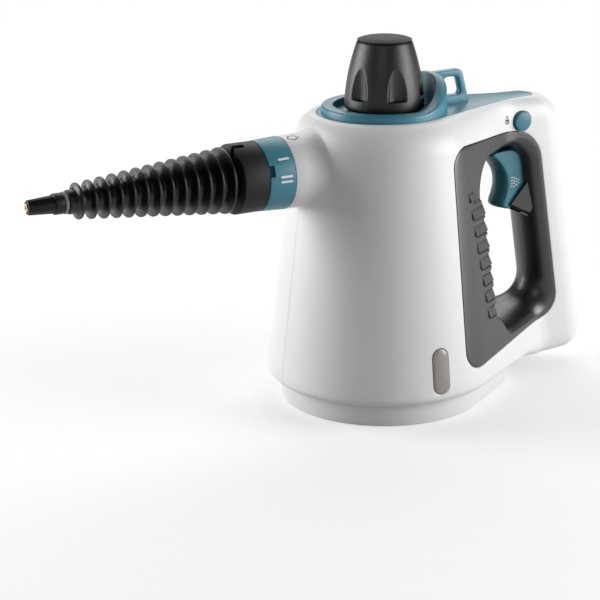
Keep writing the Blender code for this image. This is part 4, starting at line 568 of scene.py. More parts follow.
# %% Wall grid
def base_outline(out=0.0):
    """Half outline of the base: front arc, flank, small corner, then straight across the rear."""
    r, corner, end_x, angle = 64.8 * MM + out, 14 * MM + out, 84 * MM + out, math.radians(32.5)
    turn = mix(math.pi, math.pi / 2 - angle, PART[KIND == 0])
    arc = np.column_stack((r * np.cos(turn), r * np.sin(turn)))
    centre_x = end_x - corner
    centre_y = (r - corner - centre_x * math.sin(angle)) / math.cos(angle)
    bow = (math.pi / 2 - angle) * (1 - np.linspace(0, 1, STRETCHES[2] - 3))
    bend = np.column_stack((centre_x + corner * np.cos(bow), centre_y + corner * np.sin(bow)))
    flank = mix(arc[-1], bend[0], PART[KIND == 1][:, None])[:-1]
    rear = mix(bend[-1], np.array((end_x, 0)), np.linspace(0, 1, 5)[1:, None])
    return np.vstack((arc, flank, bend, rear))


def sole_z(x):
    """Height of the underside, which drops by 5 mm towards the tail."""
    return mix(15.5 * MM, 10.5 * MM, smooth(x, 90 * MM, 112 * MM))


def inward(points):
    """Level directions that point into a half outline whose ends lie on the middle plane."""
    before = np.vstack((points[1] * (1, -1), points[:-1]))
    after = np.vstack((points[1:], points[-2] * (1, -1)))
    along = after - before
    across = np.column_stack((along[:, 1], -along[:, 0]))
    return across / np.linalg.norm(across, axis=1)[:, None]


def wall_grid():
    """Rows of the outer face of the +Y half: foot, rolled edge, cone and shoulder."""
    count = len(KIND)
    opening = base_outline(2.3 * MM + GAP)
    foot = np.zeros((count, 3))
    foot[:len(opening), :2] = opening
    foot[len(opening) - 1:, 0] = np.linspace(opening[-1, 0], 129 * MM, count - len(opening) + 1)
    foot[:, 2] = sole_z(foot[:, 0])
    tail = np.clip((PLACE - 19) / 4, 0, 1)
    edge_z = mix(20.5 * MM, 24 * MM, tail)
    edge = np.column_stack(body_outline(edge_z))
    into = inward(edge)
    deep = mix(4.8 * MM, 8.5 * MM, tail)
    under = np.column_stack((edge + into * deep[:, None], np.zeros(count)))
    under[:, 2] = sole_z(under[:, 0])
    rows = [mix(foot, under, s) for s in (0, 0.5)]
    for bow in np.linspace(math.pi / 2, 0, 9):
        flat = edge + into * (deep * (1 - math.cos(bow)))[:, None]
        rows.append(np.column_stack((flat, mix(edge_z, under[:, 2], math.sin(bow)))))
    spring_z = soft_shoulder(PLACE)
    for share in np.linspace(0, 1, 25)[1:]:
        z = mix(edge_z, spring_z, share)
        rows.append(np.column_stack((*body_outline(z), z)))
    top = np.column_stack((*deck_outline(), np.full(count, DECK_Z)))
    spring = rows[-1]
    for bow in quarter(17)[1:]:
        flat = spring[:, :2] + (top - spring)[:, :2] * (1 - math.cos(bow))
        rows.append(np.column_stack((flat, mix(spring[:, 2], DECK_Z, math.sin(bow)))))
    return np.array(rows)


def wall_normals(rows):
    """Outward directions: the cross product of the two ways along the grid, mirrored at its ends."""
    flip = np.array((1, -1, 1))
    before = np.concatenate((rows[:, 1:2] * flip, rows[:, :-1]), axis=1)
    after = np.concatenate((rows[:, 1:], rows[:, -2:-1] * flip), axis=1)
    out = np.cross(after - before, np.gradient(rows, axis=0))
    out[0], out[-1] = (0, 0, -1), (0, 0, 1)
    out /= np.linalg.norm(out, axis=2)[:, :, None]
    middle = out[1:-1]
    if ((rows[1:-1] - np.array((0.03, 0, 0.1))) * middle).sum(axis=2).mean() < 0:
        middle *= -1
    return out


ROWS = wall_grid()
INNER = ROWS - wall_normals(ROWS) * WALL
high, wide = ROWS.shape[:2]
print("wall rows and columns:", high, wide)


def wall_parts(side):
    """Outer and inner face of a half, joined all round their edge."""
    grid = np.concatenate((ROWS, INNER)).reshape(-1, 3) * (1, side, 1)
    cells = quads(high, wide)
    total = high * wide
    index = np.arange(total).reshape(high, wide)
    ring = np.concatenate((index[0, :], index[1:, -1], index[-1, -2::-1], index[-2:0:-1, 0]))
    on = np.roll(ring, -1)
    rim = np.column_stack((ring, on, on + total, ring + total))
    return grid, np.concatenate((cells, cells[:, ::-1] + total, rim))


# %% [markdown]
# ## Outlet neck
# The neck leaves the front of the body in a soft fillet, as moulded parts do so that the plastic can flow.
# At each angle round the nozzle axis the fillet is one quadratic curve: it starts along the neck, turns at
# the point where the neck would meet the body, and ends on the body, a hair under its surface. A Bevel has
# one width all round, but this fillet reaches 5.5 mm at the sides and 2.8 mm above and below, so it is a
# surface of its own.


# %% Neck surface
def front_x(y, z):
    """How far the front of the housing lies ahead at a place, found by following its outline round."""
    around = np.arcsin(np.clip(np.abs(y) / (58 * MM), 0, 1))
    for _ in range(12):
        spring_z = soft_shoulder(np.clip(COARSE[0] * around / (math.pi / 2 + FLANK), 0, LAST_PLACE))
        rise = np.clip((z - spring_z) / (DECK_Z - spring_z), 0, 1)
        share = 1 - np.sqrt(1 - rise * rise)
        r = cone_r(np.minimum(z, spring_z))
        around = np.arcsin(np.clip(np.abs(y) / mix(r, DECK_SIDE_R, share), 0, 1))
    return -mix(r, DECK_FRONT_R, share) * np.cos(around)


def neck_parts(steps=128):
    """Rings of the neck: inside the wall, along the fillet, along the neck and over its rounded lip."""
    turn = full_turn(steps)
    reach = mix(2.8 * MM, 5.5 * MM, np.cos(turn) ** 2)

    def body_at(d):
        """Where the front of the body lies at each angle, at a distance from the nozzle axis."""
        return front_x(-d * np.cos(turn), NOZZLE_Z + d * np.sin(turn))

    start = np.full(steps, -66.8 * MM)
    corner, end = body_at(NECK_R) + 0.10 * MM, body_at(NECK_R + reach) + 0.12 * MM
    rings = [around_nozzle(turn, 21.4 * MM, -44 * MM), around_nozzle(turn, NECK_R + reach, end + 1.2 * MM)]
    for t in np.linspace(1, 0, 13):
        d = (1 - t) ** 2 * NECK_R + 2 * t * (1 - t) * NECK_R + t ** 2 * (NECK_R + reach)
        x = (1 - t) ** 2 * start + 2 * t * (1 - t) * corner + t ** 2 * end
        rings.append(around_nozzle(turn, d, x))
    for d, x in ((NECK_R, -74.3), (NECK_R - 0.12 * MM, -74.58), (NECK_R - 0.4 * MM, -74.7), (10 * MM, -74.7)):
        rings.append(around_nozzle(turn, d, x * MM))
    return tube_parts(rings)


print("front of the body at the nozzle axis:", float(front_x(np.array([0.0]), np.array([NOZZLE_Z]))[0]))

# %% [markdown]
# ## Openings
# The side panel, the lock and the lens sit in openings with soft lips. The plug that cuts one is 0.3 mm
# larger than the part and flares out over the last half millimetre, which leaves the small rounded edge that
# catches the light on a real moulding. A Bevel on the edge of a cut often fails, because a cut leaves short
# and uneven edges, so the roundness is in the plug. Both the panel and the finger opening are four-cornered
# outlines.


# %% Rounded outlines and flared cutters
PANEL = (((15.8, 169.6), (105.4, 164.5), (126.2, 37.4), (18.9, 30.0)), (12, 23, 15, 13))
HOLE = (((41.2, 154.5), (96.3, 153.5), (113.2, 45.0), (57.6, 45.5)), (21, 16, 20, 14))


def rounded(shape, out=0.0, corner_steps=12, side_steps=(12, 12, 12, 12)):
    """Closed outline with an arc at each corner and points along each side, moved out by a distance."""
    corners, radii = np.array(shape[0]) * MM, np.array(shape[1]) * MM
    arcs = []
    for i in range(len(corners)):
        here, back, on = corners[i], corners[i - 1], corners[(i + 1) % len(corners)]
        to_back = (back - here) / np.linalg.norm(back - here)
        to_on = (on - here) / np.linalg.norm(on - here)
        half = math.acos(float(to_back @ to_on)) / 2
        middle = (to_back + to_on) / np.linalg.norm(to_back + to_on)
        centre = here + middle * radii[i] / math.sin(half)
        first = here + to_back * radii[i] / math.tan(half) - centre
        last = here + to_on * radii[i] / math.tan(half) - centre
        span = math.pi - 2 * half
        share = np.linspace(0, 1, corner_steps + 1)[:, None]
        blend = (first * np.sin((1 - share) * span) + last * np.sin(share * span)) / math.sin(span)
        arcs.append(centre + blend * (radii[i] + out) / radii[i])
    laced = []
    for i, arc in enumerate(arcs):
        following = arcs[(i + 1) % len(arcs)][0]
        steps = np.arange(1, side_steps[i])[:, None] / side_steps[i]
        laced += [arc, mix(arc[-1], following, steps)]
    return np.vstack(laced)


def side_cutter(shape, side, out):
    """A plug through the side wall that flares out like a small radius near the surface."""
    rings = []
    levels = ((-80, 0.0), (-0.55, 0.0), (-0.32, 0.05), (-0.15, 0.15), (-0.05, 0.30), (0.02, 0.52), (6, 0.52))
    for lift, flare in levels:
        flat = rounded(shape, out + flare * MM, 12, (30, 30, 30, 30))
        rings.append(upright(flat, side * np.clip(skin(flat[:, 0], flat[:, 1]) + lift * MM, 0, None)))
    rings[0][:, 1] = 0
    return tube_parts(rings)


def lens_parts(levels):
    """Long ovals that follow the cone of the body: (growth and height in millimetres, share of size)."""
    turn = np.linspace(0, math.pi, 17)
    rings = []
    for out, proud, share in levels:
        half = (5.5 * MM + out * MM) * share
        lift = 8.75 * MM * share + half * np.sin(turn)
        z = 35.75 * MM + np.concatenate((lift, -lift))
        x = -2.2 * MM + half * np.concatenate((np.cos(turn), -np.cos(turn)))
        rings.append(np.column_stack((x, -np.sqrt(cone_r(z) ** 2 - x ** 2 * 0.9) - proud * MM, z)))
    return tube_parts(rings)


SCREWS = ((-57, 62), (-50, 120), (104, 24.5), (124.5, 98))


def post_parts(x, z, side):
    """A screw post from the middle plane to the wall, its far end cut to the wall's own shape."""
    turn = full_turn(32)
    px, pz = x + 4 * MM * np.cos(turn), z + 4 * MM * np.sin(turn)
    far = side * (body_half(px, pz) - 1.5 * MM)
    return tube_parts([np.column_stack((px, far * share, pz)) for share in (0, 1)])


print("openings ready")

# %% [markdown]
# ## The two halves
# The housing is two mouldings that are screwed together. One body with a painted line would look alike from
# afar, but a real gap gives a real shadow. Each half gets its neck and its screw posts, then the bores and
# openings. The two halves part on the middle plane with a seam of 0.3 mm, the fine dark line down the front
# of the cleaner.

# %% Housing halves
OUTLET = [(0, -24), (19.6, -24), (19.6, -66.7), (8.8, -66.7), (8.8, -69.2), (19.6, -69.2), (19.6, -72.3),
          (15.6, -72.3), (15.6, -90), (0, -90)]
THREAD_HOLE = [(0, 20), (1.6, 20), (1.6, -11), (0, -11)]
GLAND_HOLE = [(0, 170), (5.8, 170), (5.8, 138), (0, 138)]
LENS_HOLE = ((GAP_MM, -6, 1), (GAP_MM, -0.5, 1), (0.42, -0.15, 1), (0.75, 0.05, 1), (0.75, 20, 1))
LOCK_HOLES = {-1: [(0, -9), (6.4, -9), (6.4, -16.4), (6.55, -16.8), (7.2, -17.2), (7.2, -40), (0, -40)],
              1: [(0, 40), (5.5, 40), (5.5, 17.4), (4.9, 16.9), (4.8, 16.5), (4.8, 9), (0, 9)]}


def shell_half(name, side):
    """One half of the housing from its wall, neck, posts and openings."""
    shell = body_from(name + "_skin", [wall_parts(side)])
    combine(shell, neck_parts(), "UNION")
    for x, z in SCREWS:
        combine(shell, post_parts(x * MM, z * MM, side), "UNION")
    bore(shell, OUTLET, "X", NOZZLE_AT, 96)
    combine(shell, side_cutter(PANEL, side, GAP))
    for x, z in SCREWS:
        mouth = float(body_half(np.array([x * MM]), np.array([z * MM]))[0]) / MM
        hole = [(0, mouth + 20), (3.6, mouth + 20), (3.6, mouth + 0.1), (3.15, mouth - 0.5), (3.1, mouth - 1),
                (3.1, 8), (1.7, 8), (1.7, -20), (0, -20)]
        bore(shell, hole if side > 0 else THREAD_HOLE, "Y", (x, 0, z), 32)
    bore(shell, GLAND_HOLE, "X", GLAND_AT, 32)
    if side < 0:
        combine(shell, lens_parts(LENS_HOLE))
    bore(shell, LOCK_HOLES[side], "Y", LOCK_AT, 64)
    low, high = (-SPLIT_MM, 1000) if side < 0 else (-1000, SPLIT_MM)
    combine(shell, beam((-1000, low, -1000), (1000, high, 1000)))
    dress(finish_mesh(shell), "shell_white", "housing", name)


for shell_name, shell_side in (("shell_left", -1), ("shell_right", 1)):
    shell_half(shell_name, shell_side)

# %% [markdown]
# ## Base cover
# The foot is a shallow tray under the round part of the body. A scaled copy of the housing's outline would
# reach under the handle too, so the foot has an outline of its own, moved out level by level. Its wall leans
# out by 2.3 mm towards the housing, the draft that lets it leave its mould, and its bottom edge is rounded.
# The lip round its top is held between the halves, and a ring in the middle carries the boiler.


# %% Base
def whole(half, z):
    """A half outline and its mirror image as one ring at a height."""
    flat = np.vstack((half, half[-2:0:-1] * (1, -1)))
    return np.column_stack((flat, np.full(len(flat), z)))


def make_base():
    """The tray of the base, from its outer foot over the lip to its inner floor."""
    levels = ((-1.1, 0), (-0.7, 0.03), (-0.32, 0.2), (-0.1, 0.5), (0, 0.9), (1.2, 8.5), (2.3, 18.3),
              (4.9, 18.3), (4.9, 20.3), (-0.2, 20.3), (-2.4, 4.2), (-3.3, 3.0))
    tray = body_from("base_skin", [tube_parts([whole(base_outline(o * MM), z * MM) for o, z in levels])])
    bore(tray, [(30, 24), (33, 24), (33, 1.5), (30, 1.5)], "Z", BODY_AT, 96, "UNION")
    dress(finish_mesh(tray), "base_white", "housing", "base_cover")


make_base()

# %% [markdown]
# ## Teal top cover
# The cover is one moulding: a flat deck, a collar that rises behind the cap into a hood, and a loop to hang
# the cleaner by. A ring cut off at a slant would rise evenly, but the real rim is level in front and climbs
# behind. So the rim follows a smooth step round its turn, and its edge is rounded on both sides, so that the
# hood reads as a soft band.


# %% Top cover
def collar_parts(steps=192):
    """Closed sections round the filler opening: leaning outer wall, rounded rim, upright inner wall."""
    turn = full_turn(steps)
    off = np.abs(np.arctan2(np.sin(turn), np.cos(turn)))
    top = mix(206.4 * MM, 190 * MM, smooth(off, math.radians(5), math.radians(86)))
    outer = 39.5 * MM - 0.04 * (top - DECK_Z)
    wide = mix(3.6 * MM, 1.7 * MM, smooth(off, math.radians(40), math.radians(85)))
    soft, inner, foot = 1.1 * MM, 31.6 * MM, 183.2 * MM
    levels = [(39.5 * MM, foot)]
    for bow in quarter(10):
        levels.append((outer - wide * (1 - np.cos(bow)), top - wide * (1 - np.sin(bow))))
    for bow in quarter(6):
        levels.append((inner + soft * (1 - np.sin(bow)), top + 0.1 * MM - soft * (1 - np.cos(bow))))
    levels.append((inner, foot))
    return loop_parts([np.column_stack((r * np.cos(turn), r * np.sin(turn), np.broadcast_to(z, steps)))
                       for r, z in levels])


def plate_parts(shape, levels):
    """An outline drawn out along Y, moved out by its own amount at each level."""
    return tube_parts([upright(rounded(shape, out * MM, 8, (14, 14, 14, 14)), y * MM) for y, out in levels])


def make_top_cover():
    """Deck, collar, loop and the eye in it, with the opening over the filler neck."""
    levels = ((1.0, 179.3), (1.0, 181.1), (-0.3, 181.1), (-0.3, 184.9), (-0.36, 185.2), (-0.55, 185.42),
              (-0.9, 185.5))
    rings = [whole(np.column_stack(deck_outline(o * MM)), z * MM) for o, z in levels]
    cover = body_from("top_cover_skin", [tube_parts(rings)])
    combine(cover, collar_parts(), "UNION")
    loop = (((34.0, 206.4), (56.0, 206.9), (62.2, 184.5), (34.0, 184.5)), (1.2, 4.2, 1.2, 1.2))
    edges = mirrored(((-2.8, -0.9), (-2.7, -0.52), (-2.45, -0.22), (-2.0, -0.03), (-1.6, 0)))
    combine(cover, plate_parts(loop, edges), "UNION")
    eye = (((42.9, 202.5), (52.8, 202.5), (56.0, 190.5), (41.1, 190.5)), (3.2, 3.8, 2.6, 2.6))
    edges = mirrored(((-8, 0.9), (-2.82, 0.9), (-2.7, 0.5), (-2.45, 0.2), (-2.0, 0)))
    combine(cover, plate_parts(eye, edges))
    well = [(0, 150), (15.8, 150), (15.8, 184.9), (16.0, 185.3), (16.6, 185.6), (16.6, 190), (0, 190)]
    bore(cover, well, "Z", BODY_AT, 96)
    dress(finish_mesh(cover), "cover_teal", "housing", "top_cover")


make_top_cover()

# %% [markdown]
# ## Grip liners
# A dark panel lines the finger opening. Round the front its edge is tight; towards the handle the same edge
# widens into a full roll that the hand closes round. A Bevel keeps one radius, so instead one section is
# worked out at each point of the opening, and the radius of its roll goes smoothly from place to place.
# Places count corners and sides in turn: 0 is the upper front corner, 1 the top, 3 the rear, 5 the bottom
# and 7 the front side.
#
# Eight raised pads sit beside the opening. Each one is a ramp: it starts flush at its top, rises by 0.9 mm
# and drops off sharply at its bottom edge, and the edge of the opening bulges with it like a saw tooth.

# %% Liner section
CORNERS = 14
SIDES = (24, 44, 24, 300)
ROLLS = (0.09, 0.33, 0.90, 0.93, 0.93, 0.66, 0.16, 0.06)
FRONT_SIDE = (6.4, 7.6)
PAD_TOP, PAD_FOOT, PAD_PITCH, PAD_TALL = 140.1 * MM, 133.8 * MM, 10.9 * MM, 6.3 * MM
PADS_X, PADS_RUN, PADS_LEAN = 30.5 * MM, 76.3 * MM, 15.0 / 76.3


def pad_share(z):
    """Share of the way up a pad at a height, 0 at its bottom edge and 1 at its top, and the pad's number."""
    number = np.clip(np.floor((PAD_TOP - z) / PAD_PITCH), 0, 7)
    return (z - (PAD_FOOT - PAD_PITCH * number)) / PAD_TALL, number


def pad_height(x, z):
    """Height over the flange: a ramp that drops at its foot, with fine grooves along its top and its side."""
    up, _ = pad_share(z)
    border = mix(PADS_X, 45.5 * MM, (PAD_FOOT - z) / PADS_RUN)
    across = smooth(x, border, border + 0.6 * MM)
    ramp = 0.9 * MM * np.clip(1 - up, 0, 1) * smooth(up, -0.05, 0.0) * (up < 1)
    near = np.exp(-((x - border + 0.1 * MM) / (0.35 * MM)) ** 2)
    near = near * smooth(up, -0.08, 0.02) * (1 - smooth(up, 0.98, 1.06))
    foot, head = np.exp(-((up + 0.10) / 0.07) ** 2), np.exp(-((up - 1.03) / 0.07) ** 2)
    inside = (z > 55.5 * MM) & (z < 141 * MM)
    return (across * (ramp - 0.75 * MM * foot - 0.45 * MM * head) - 0.50 * MM * near) * inside


def edge_bulge(z):
    """How far the edge of the opening stands out beside the pads: growing down a pad, kept, then let go."""
    up, number = pad_share(z)
    grown = np.where(up > 0, 1 - np.clip(up, 0, 1), smooth(up, -0.73, -0.5))
    last = np.where((number == 7) & (up < 0), smooth(up, -0.6, 0), 1)
    base = smooth(z, 53 * MM, 60 * MM) * (1 - smooth(z, 136 * MM, 141 * MM))
    return (1.3 * MM * base + 2.0 * MM * grown * last) * (z < 141 * MM) * (z > 53 * MM)


def liner_parts(side):
    """The closed section of the liner at every point round the opening."""
    holes, edges = rounded(HOLE, 0, CORNERS, SIDES), rounded(PANEL, 0, CORNERS, SIDES)
    places = []
    for k in range(4):
        places.append(2 * k + (np.linspace(0, 1, CORNERS + 1) - 0.5) * 1.143)
        places.append(mix(2 * k + 0.5714, 2 * k + 1.4286, np.arange(1, SIDES[k]) / SIDES[k]))
    place = np.concatenate(places)
    spread = np.linspace(-0.25, 0.25, 5)[:, None]
    share = np.interp(place + spread, np.arange(9), (*ROLLS, ROLLS[0]), period=8).mean(axis=0)
    front = (place > FRONT_SIDE[0]) & (place < FRONT_SIDE[1])
    holes[:, 0] += 6.5 * MM * smooth(holes[:, 1], 61 * MM, 44.5 * MM) * smooth(place, 4.5, 5.3)
    reach = edges - holes
    length = np.linalg.norm(reach, axis=1)
    low = smooth(place, 4.5, 5.0) * (1 - smooth(place, 6.3, 6.57))
    radius = mix(length * share, mix(7.9 * MM, 1.2 * MM, smooth(place, 5.45, 6.3)), low)
    roll_way = mix(reach / length[:, None], -across_of(holes), low[:, None])
    border = holes + roll_way * radius[:, None]
    flange = np.linalg.norm(edges - border, axis=1)
    away = (edges - border) / flange[:, None]
    width = radius + flange
    back = np.maximum(radius - 2 * MM, 0.6 * MM)
    ahead = PADS_X + PADS_LEAN * (PAD_FOOT - holes[:, 1]) - holes[:, 0]
    cross = np.where(front, ahead / (reach[:, 0] + PADS_LEAN * reach[:, 1]), 0.5)
    cross = np.clip(np.maximum(cross * length, radius + 2.5 * MM), None, width - 2.2 * MM)
    cross = np.where(radius + 3 * MM > width - 2.2 * MM, mix(radius, width, 0.5), cross)
    gap = np.minimum(0.9 * MM, (width - radius) * 0.15)
    rim = np.minimum(0.5 * MM, (width - cross) * 0.3)
    stations = [(radius * (1 - math.cos(bow)), 0, math.sin(bow)) for bow in quarter(19)]
    stretches = ((radius, cross - gap, 15), (cross - gap, cross + gap, 12), (cross + gap, width - rim, 9))
    for near, far, count in stretches:
        stations += [(mix(near, far, s), 0, 1) for s in np.linspace(0, 1, count)[1:]]
    face = len(stations)
    for bow in (0.5, 1.0, math.pi / 2):
        stations.append((width - rim * (1 - math.sin(bow)), rim * (1 - math.cos(bow)), 1))
    lip = width + 1.1 * MM
    stations += [(width, 5.2 * MM, 1), (lip, 5.2 * MM, 1), (lip, 6.7 * MM, 1)]
    for bow in np.linspace(math.pi / 2, 0, 12):
        stations.append((2 * MM + back * (1 - math.cos(bow)), 6.7 * MM, math.sin(bow)))
    rings = []
    for number, (out, drop, lift) in enumerate(stations):
        rolled = np.minimum(out, radius)
        flat = holes + roll_way * rolled[:, None] + away * (out - rolled)[:, None]
        if number < face:
            fading = np.clip(1 - (out - radius) / (4 * MM), 0, 1)
            flat[:, 0] += edge_bulge(holes[:, 1]) * front * lift ** 10 * fading
        y = skin(flat[:, 0], flat[:, 1]) - drop
        if number < face:
            y = y + pad_height(flat[:, 0], flat[:, 1]) * front * lift ** 30
        rings.append(upright(flat, side * np.maximum(y * lift, SPLIT)))
    return loop_parts(np.array(rings).transpose(1, 0, 2))


def make_liner(name, side):
    """One liner with the slot for the trigger, the boss for its pin, the sill and the gusset."""
    liner = body_from(name + "_skin", [liner_parts(side)])
    combine(liner, beam((76, -9.7, 109.2), (125, 9.7, 166)))
    boss = np.array([(0, 15.2), (4.4, 15.2), (4.4, 10.1), (0, 10.1)])
    bore(liner, boss * (1, side), "Y", PIVOT, how="UNION")
    pin = np.array([(0, 13.6), (2.2, 13.6), (2.2, 4.85), (0, 4.85)])
    bore(liner, pin * (1, side), "Y", PIVOT)
    sill = np.array([(97.8, 108.8), (108, 108.8), (108, 103.5)]) * MM
    combine(liner, tube_parts([upright(sill, side * y) for y in (SPLIT, 10 * MM)]), "UNION")
    outer = [(102.7, 12.0, 129.0), (91.1, 10.7, 115.1), (104.3, 13.5, 108.6), (110.0, 13.5, 118.0)]
    inner = [(103.0, 9.9, 129.3), (90.9, 9.9, 113.7), (104.7, 9.9, 106.5), (110.0, 9.9, 118.0)]
    combine(liner, tube_parts(np.array((inner, outer)) * MM * (1, side, 1)), "UNION")
    if side < 0:
        bore(liner, [(0, -25), (6.6, -25), (6.6, -11), (0, -11)], "Y", LOCK_AT)
    dress(finish_mesh(liner), "liner_grey", "housing", name)


for liner_name, liner_side in (("grip_liner_left", -1), ("grip_liner_right", 1)):
    make_liner(liner_name, liner_side)

# %% [markdown]
# ## Trigger
# The trigger is a curved blade on a pin at its top. A cage under Subdivision Surface would be soft all over,
# but it would also draw the outline in. So the outline is a polygon whose corners are rounded, and it is
# repeated across the width: the front swells forward in the middle, by 4.2 mm times one minus the square of
# the share of the width, and the outline shrinks a little at both sides, which rounds the edges. Both cheeks
# end in a round shoulder, while the core between them goes on up to the pin.

# %% Trigger
TRIGGER_FRONT = ((76.0, 149.0), (80.0, 146.7), (84.2, 142.5), (87.8, 137.1), (89.5, 131.4), (89.5, 125.9),
                 (88.1, 120.0), (86.2, 115.5), (87.2, 113.0), (91.0, 111.6))
TRIGGER_CORE = ((93.8, 112.6), (99.4, 119.0), (103.0, 128.0), (103.4, 138.0), (101.4, 147.0), (101.8, 156.0),
                (101.8, 164.0), (100.0, 165.0), (96.0, 164.5), (95.0, 153.5), (88.5, 150.6), (80.0, 150.2))
TRIGGER_CHEEK = ((93.6, 113.2), (99.2, 119.2), (103.0, 128.0), (103.3, 137.0), (102.2, 142.0), (100.2, 145.6),
                 (97.8, 148.0), (95.5, 149.6), (93.2, 150.6), (91.0, 151.0), (88.0, 151.0), (80.0, 150.5))


def inset(flat, amount):
    """Moves a closed outline in along its own normals."""
    area = np.sum(flat[:, 0] * np.roll(flat[:, 1], -1) - np.roll(flat[:, 0], -1) * flat[:, 1])
    return flat - across_of(flat) * amount * np.sign(area)


def make_trigger():
    """The blade, its arm for the valve rod and the hole for its pin."""
    weights = [0.55] + [1.0] * 8 + [0.55] + [0.0] * len(TRIGGER_CORE)
    core = np.array(TRIGGER_FRONT + TRIGGER_CORE) * MM
    cheek = np.array(TRIGGER_FRONT + TRIGGER_CHEEK) * MM
    outline = soften(np.column_stack((core, weights, cheek)), 2.2 * MM, 5)
    half = ((-9, 0.82), (-9, 0.7), (-8.88, 0.4), (-8.65, 0.2), (-8.3, 0.06), (-7.8, 0), (-7.2, 0), (-6.6, 0),
            (-6, 0), (-5.2, 0), (-4.4, 0), (-2, 0))
    rings = []
    for y, cut in mirrored(half, [(0, 0)]):
        flat = inset(mix(outline[:, :2], outline[:, 3:], smooth(abs(y), 4.4, 7.8)), cut * MM)
        flat[:, 0] -= 4.2 * MM * (1 - (y / 9) ** 2) * outline[:, 2]
        rings.append(upright(flat, y * MM))
    blade = body_from("trigger_skin", [tube_parts(rings)])
    combine(blade, beam((94, 4.5, 160), (98.5, 9, 168)), "UNION")
    bore(blade, [(0, 20), (2.2, 20), (2.2, -20), (0, -20)], "Y", PIVOT)
    dress(finish_mesh(blade), "trigger_teal", "trigger_lever", "trigger")


make_trigger()

# %% [markdown]
# ## Lock button and lamp window
# The lock is a turned bolt across the handle. Its round teal face shows on the left and its smaller far end
# on the right. The window over the lamp is a long oval that follows the wall and swells out by less than a
# millimetre. A flat plate would cut into the round wall, so each point of the oval takes its depth from the
# cone.

# %% Lock and lens
lock_profile = [(0, 17.7), (4.5, 17.7), (4.5, 13.5), (2.4, 13.5), (2.4, -13.5), (6.1, -13.5), (6.1, -20.0),
                (0, -20.2)]
bolt = turned("lock_skin", lock_profile, "Y", LOCK_AT, 96, 0.8)
dress(bolt, "lock_teal", "lock_bolt", "lock_button")
window_levels = ((0, -2.4, 1), (0, -0.15, 1), (-0.12, 0.1, 1), (-0.4, 0.28, 1), (-0.9, 0.42, 1),
                 (0, 0.6, 0.7), (0, 0.72, 0.4), (0, 0.76, 0.15))
window = body_from("lens_skin", [lens_parts(window_levels)])
dress(window, "lens_smoke", "housing", "indicator_lens")
print("lock and window faces:", len(bolt.data.polygons), len(window.data.polygons))

# %% [markdown]
# ## Cap knob
# The knob is a bell: its radius falls from 25 mm at the foot to 17.1 mm at the top, with a power of 1.75.
# Six finger grips are scooped out of it. Each one is an arch: at a height, its half angle shrinks like a
# pointed window, and across it the scoop is a half circle. It ends below in a flat ledge. Six cutters could
# scoop them too, but they would leave sharp rims; here the depth is taken off the radius and smoothed twice
# first.


# %% Cap knob
def grip_depth(turn, share):
    """Depth of the grips at an angle and a share of the height."""
    pitch = math.tau / 6
    away = (turn + math.radians(162) + pitch / 2) % pitch - pitch / 2
    rise = np.clip((share - 0.145) / 0.495, 0, 1)
    wide = math.radians(14) * np.sqrt(np.clip(1 - rise ** 2.2, 1e-6, None))
    scoop = np.sqrt(np.clip(1 - (away / wide) ** 2, 0, None))
    return 4.0 * MM * (1 - rise ** 1.6) * scoop * (share > 0.1448) * (share < 0.64)


def make_knob():
    """The bell with its grips, its hem, its flat top and the pockets under it."""
    turn = full_turn(360)
    spans = ((0, 0.135, 7), (0.138, 0.158, 11), (0.165, 1, 84))
    share = np.concatenate([np.linspace(*span) for span in spans])
    depth = grip_depth(turn[None, :], share[:, None])
    for _ in range(2):
        depth = (np.roll(depth, 1, axis=1) + 2 * depth + np.roll(depth, -1, axis=1)) / 4
        depth[1:-1] = (depth[:-2] + 2 * depth[1:-1] + depth[2:]) / 4
    r = mix(25.0 * MM, 17.1 * MM, share ** 1.75)[:, None] - depth
    z = mix(189.5 * MM, 229.6 * MM, share) - 0.35 * MM * smooth(share, 0.98, 1.0)
    hem = ((12, 187.0), (22.0, 187.0), (22.7, 187.05), (23.6, 187.5), (24.5, 188.3), (24.9, 188.95))
    top = ((16.95, 229.85), (16.7, 229.9), (8, 229.9))
    levels = [(a * MM, b * MM) for a, b in hem] + list(zip(r, z)) + [(a * MM, (b - 0.3) * MM) for a, b in top]
    rings = [np.column_stack((a * np.cos(turn), a * np.sin(turn), np.full(len(turn), b))) for a, b in levels]
    knob = body_from("cap_knob_skin", [tube_parts(rings)])
    pocket = [(0, 221.3), (9.3, 221.3), (9.3, 190.7), (18.1, 190.7), (18.1, 160), (0, 160)]
    bore(knob, pocket, "Z", BODY_AT, 96)
    bore(knob, [(0, 250), (4.3, 250), (4.3, 223.7), (0, 223.7)], "Z", BODY_AT, 64)
    dress(finish_mesh(knob), "cap_charcoal", "cap_handle", "cap_knob")


make_knob()
dome = [(16.9 * share, 232.2 - 1.7 * share ** 5) for share in np.linspace(0, 0.97, 14)]
dome += [(16.95, 230.6), (16.9, 230.15), (4, 230.0), (4, 224), (0, 224)]
disc = turned("cap_disc_skin", dome, "Z", BODY_AT, 160, 0.3)
dress(disc, "disc_charcoal", "cap_handle", "cap_top_disc")

# %% [markdown]
# ## Steam ring
# The teal ring is turned by hand to choose the steam, so it carries two marks: one bar and two bars, printed
# in white. A printed mark is a thin plate bent round the ring; its outline has round ends. A picture on the
# ring would be simpler, but it would blur from close by, and it would need the ring unwrapped.


# %% Ring and marks
def ring_r(x):
    """Radius of the ring, which tapers a little towards the front."""
    return mix(NECK_R, 21.6 * MM, (x + 75 * MM) / (-17 * MM))


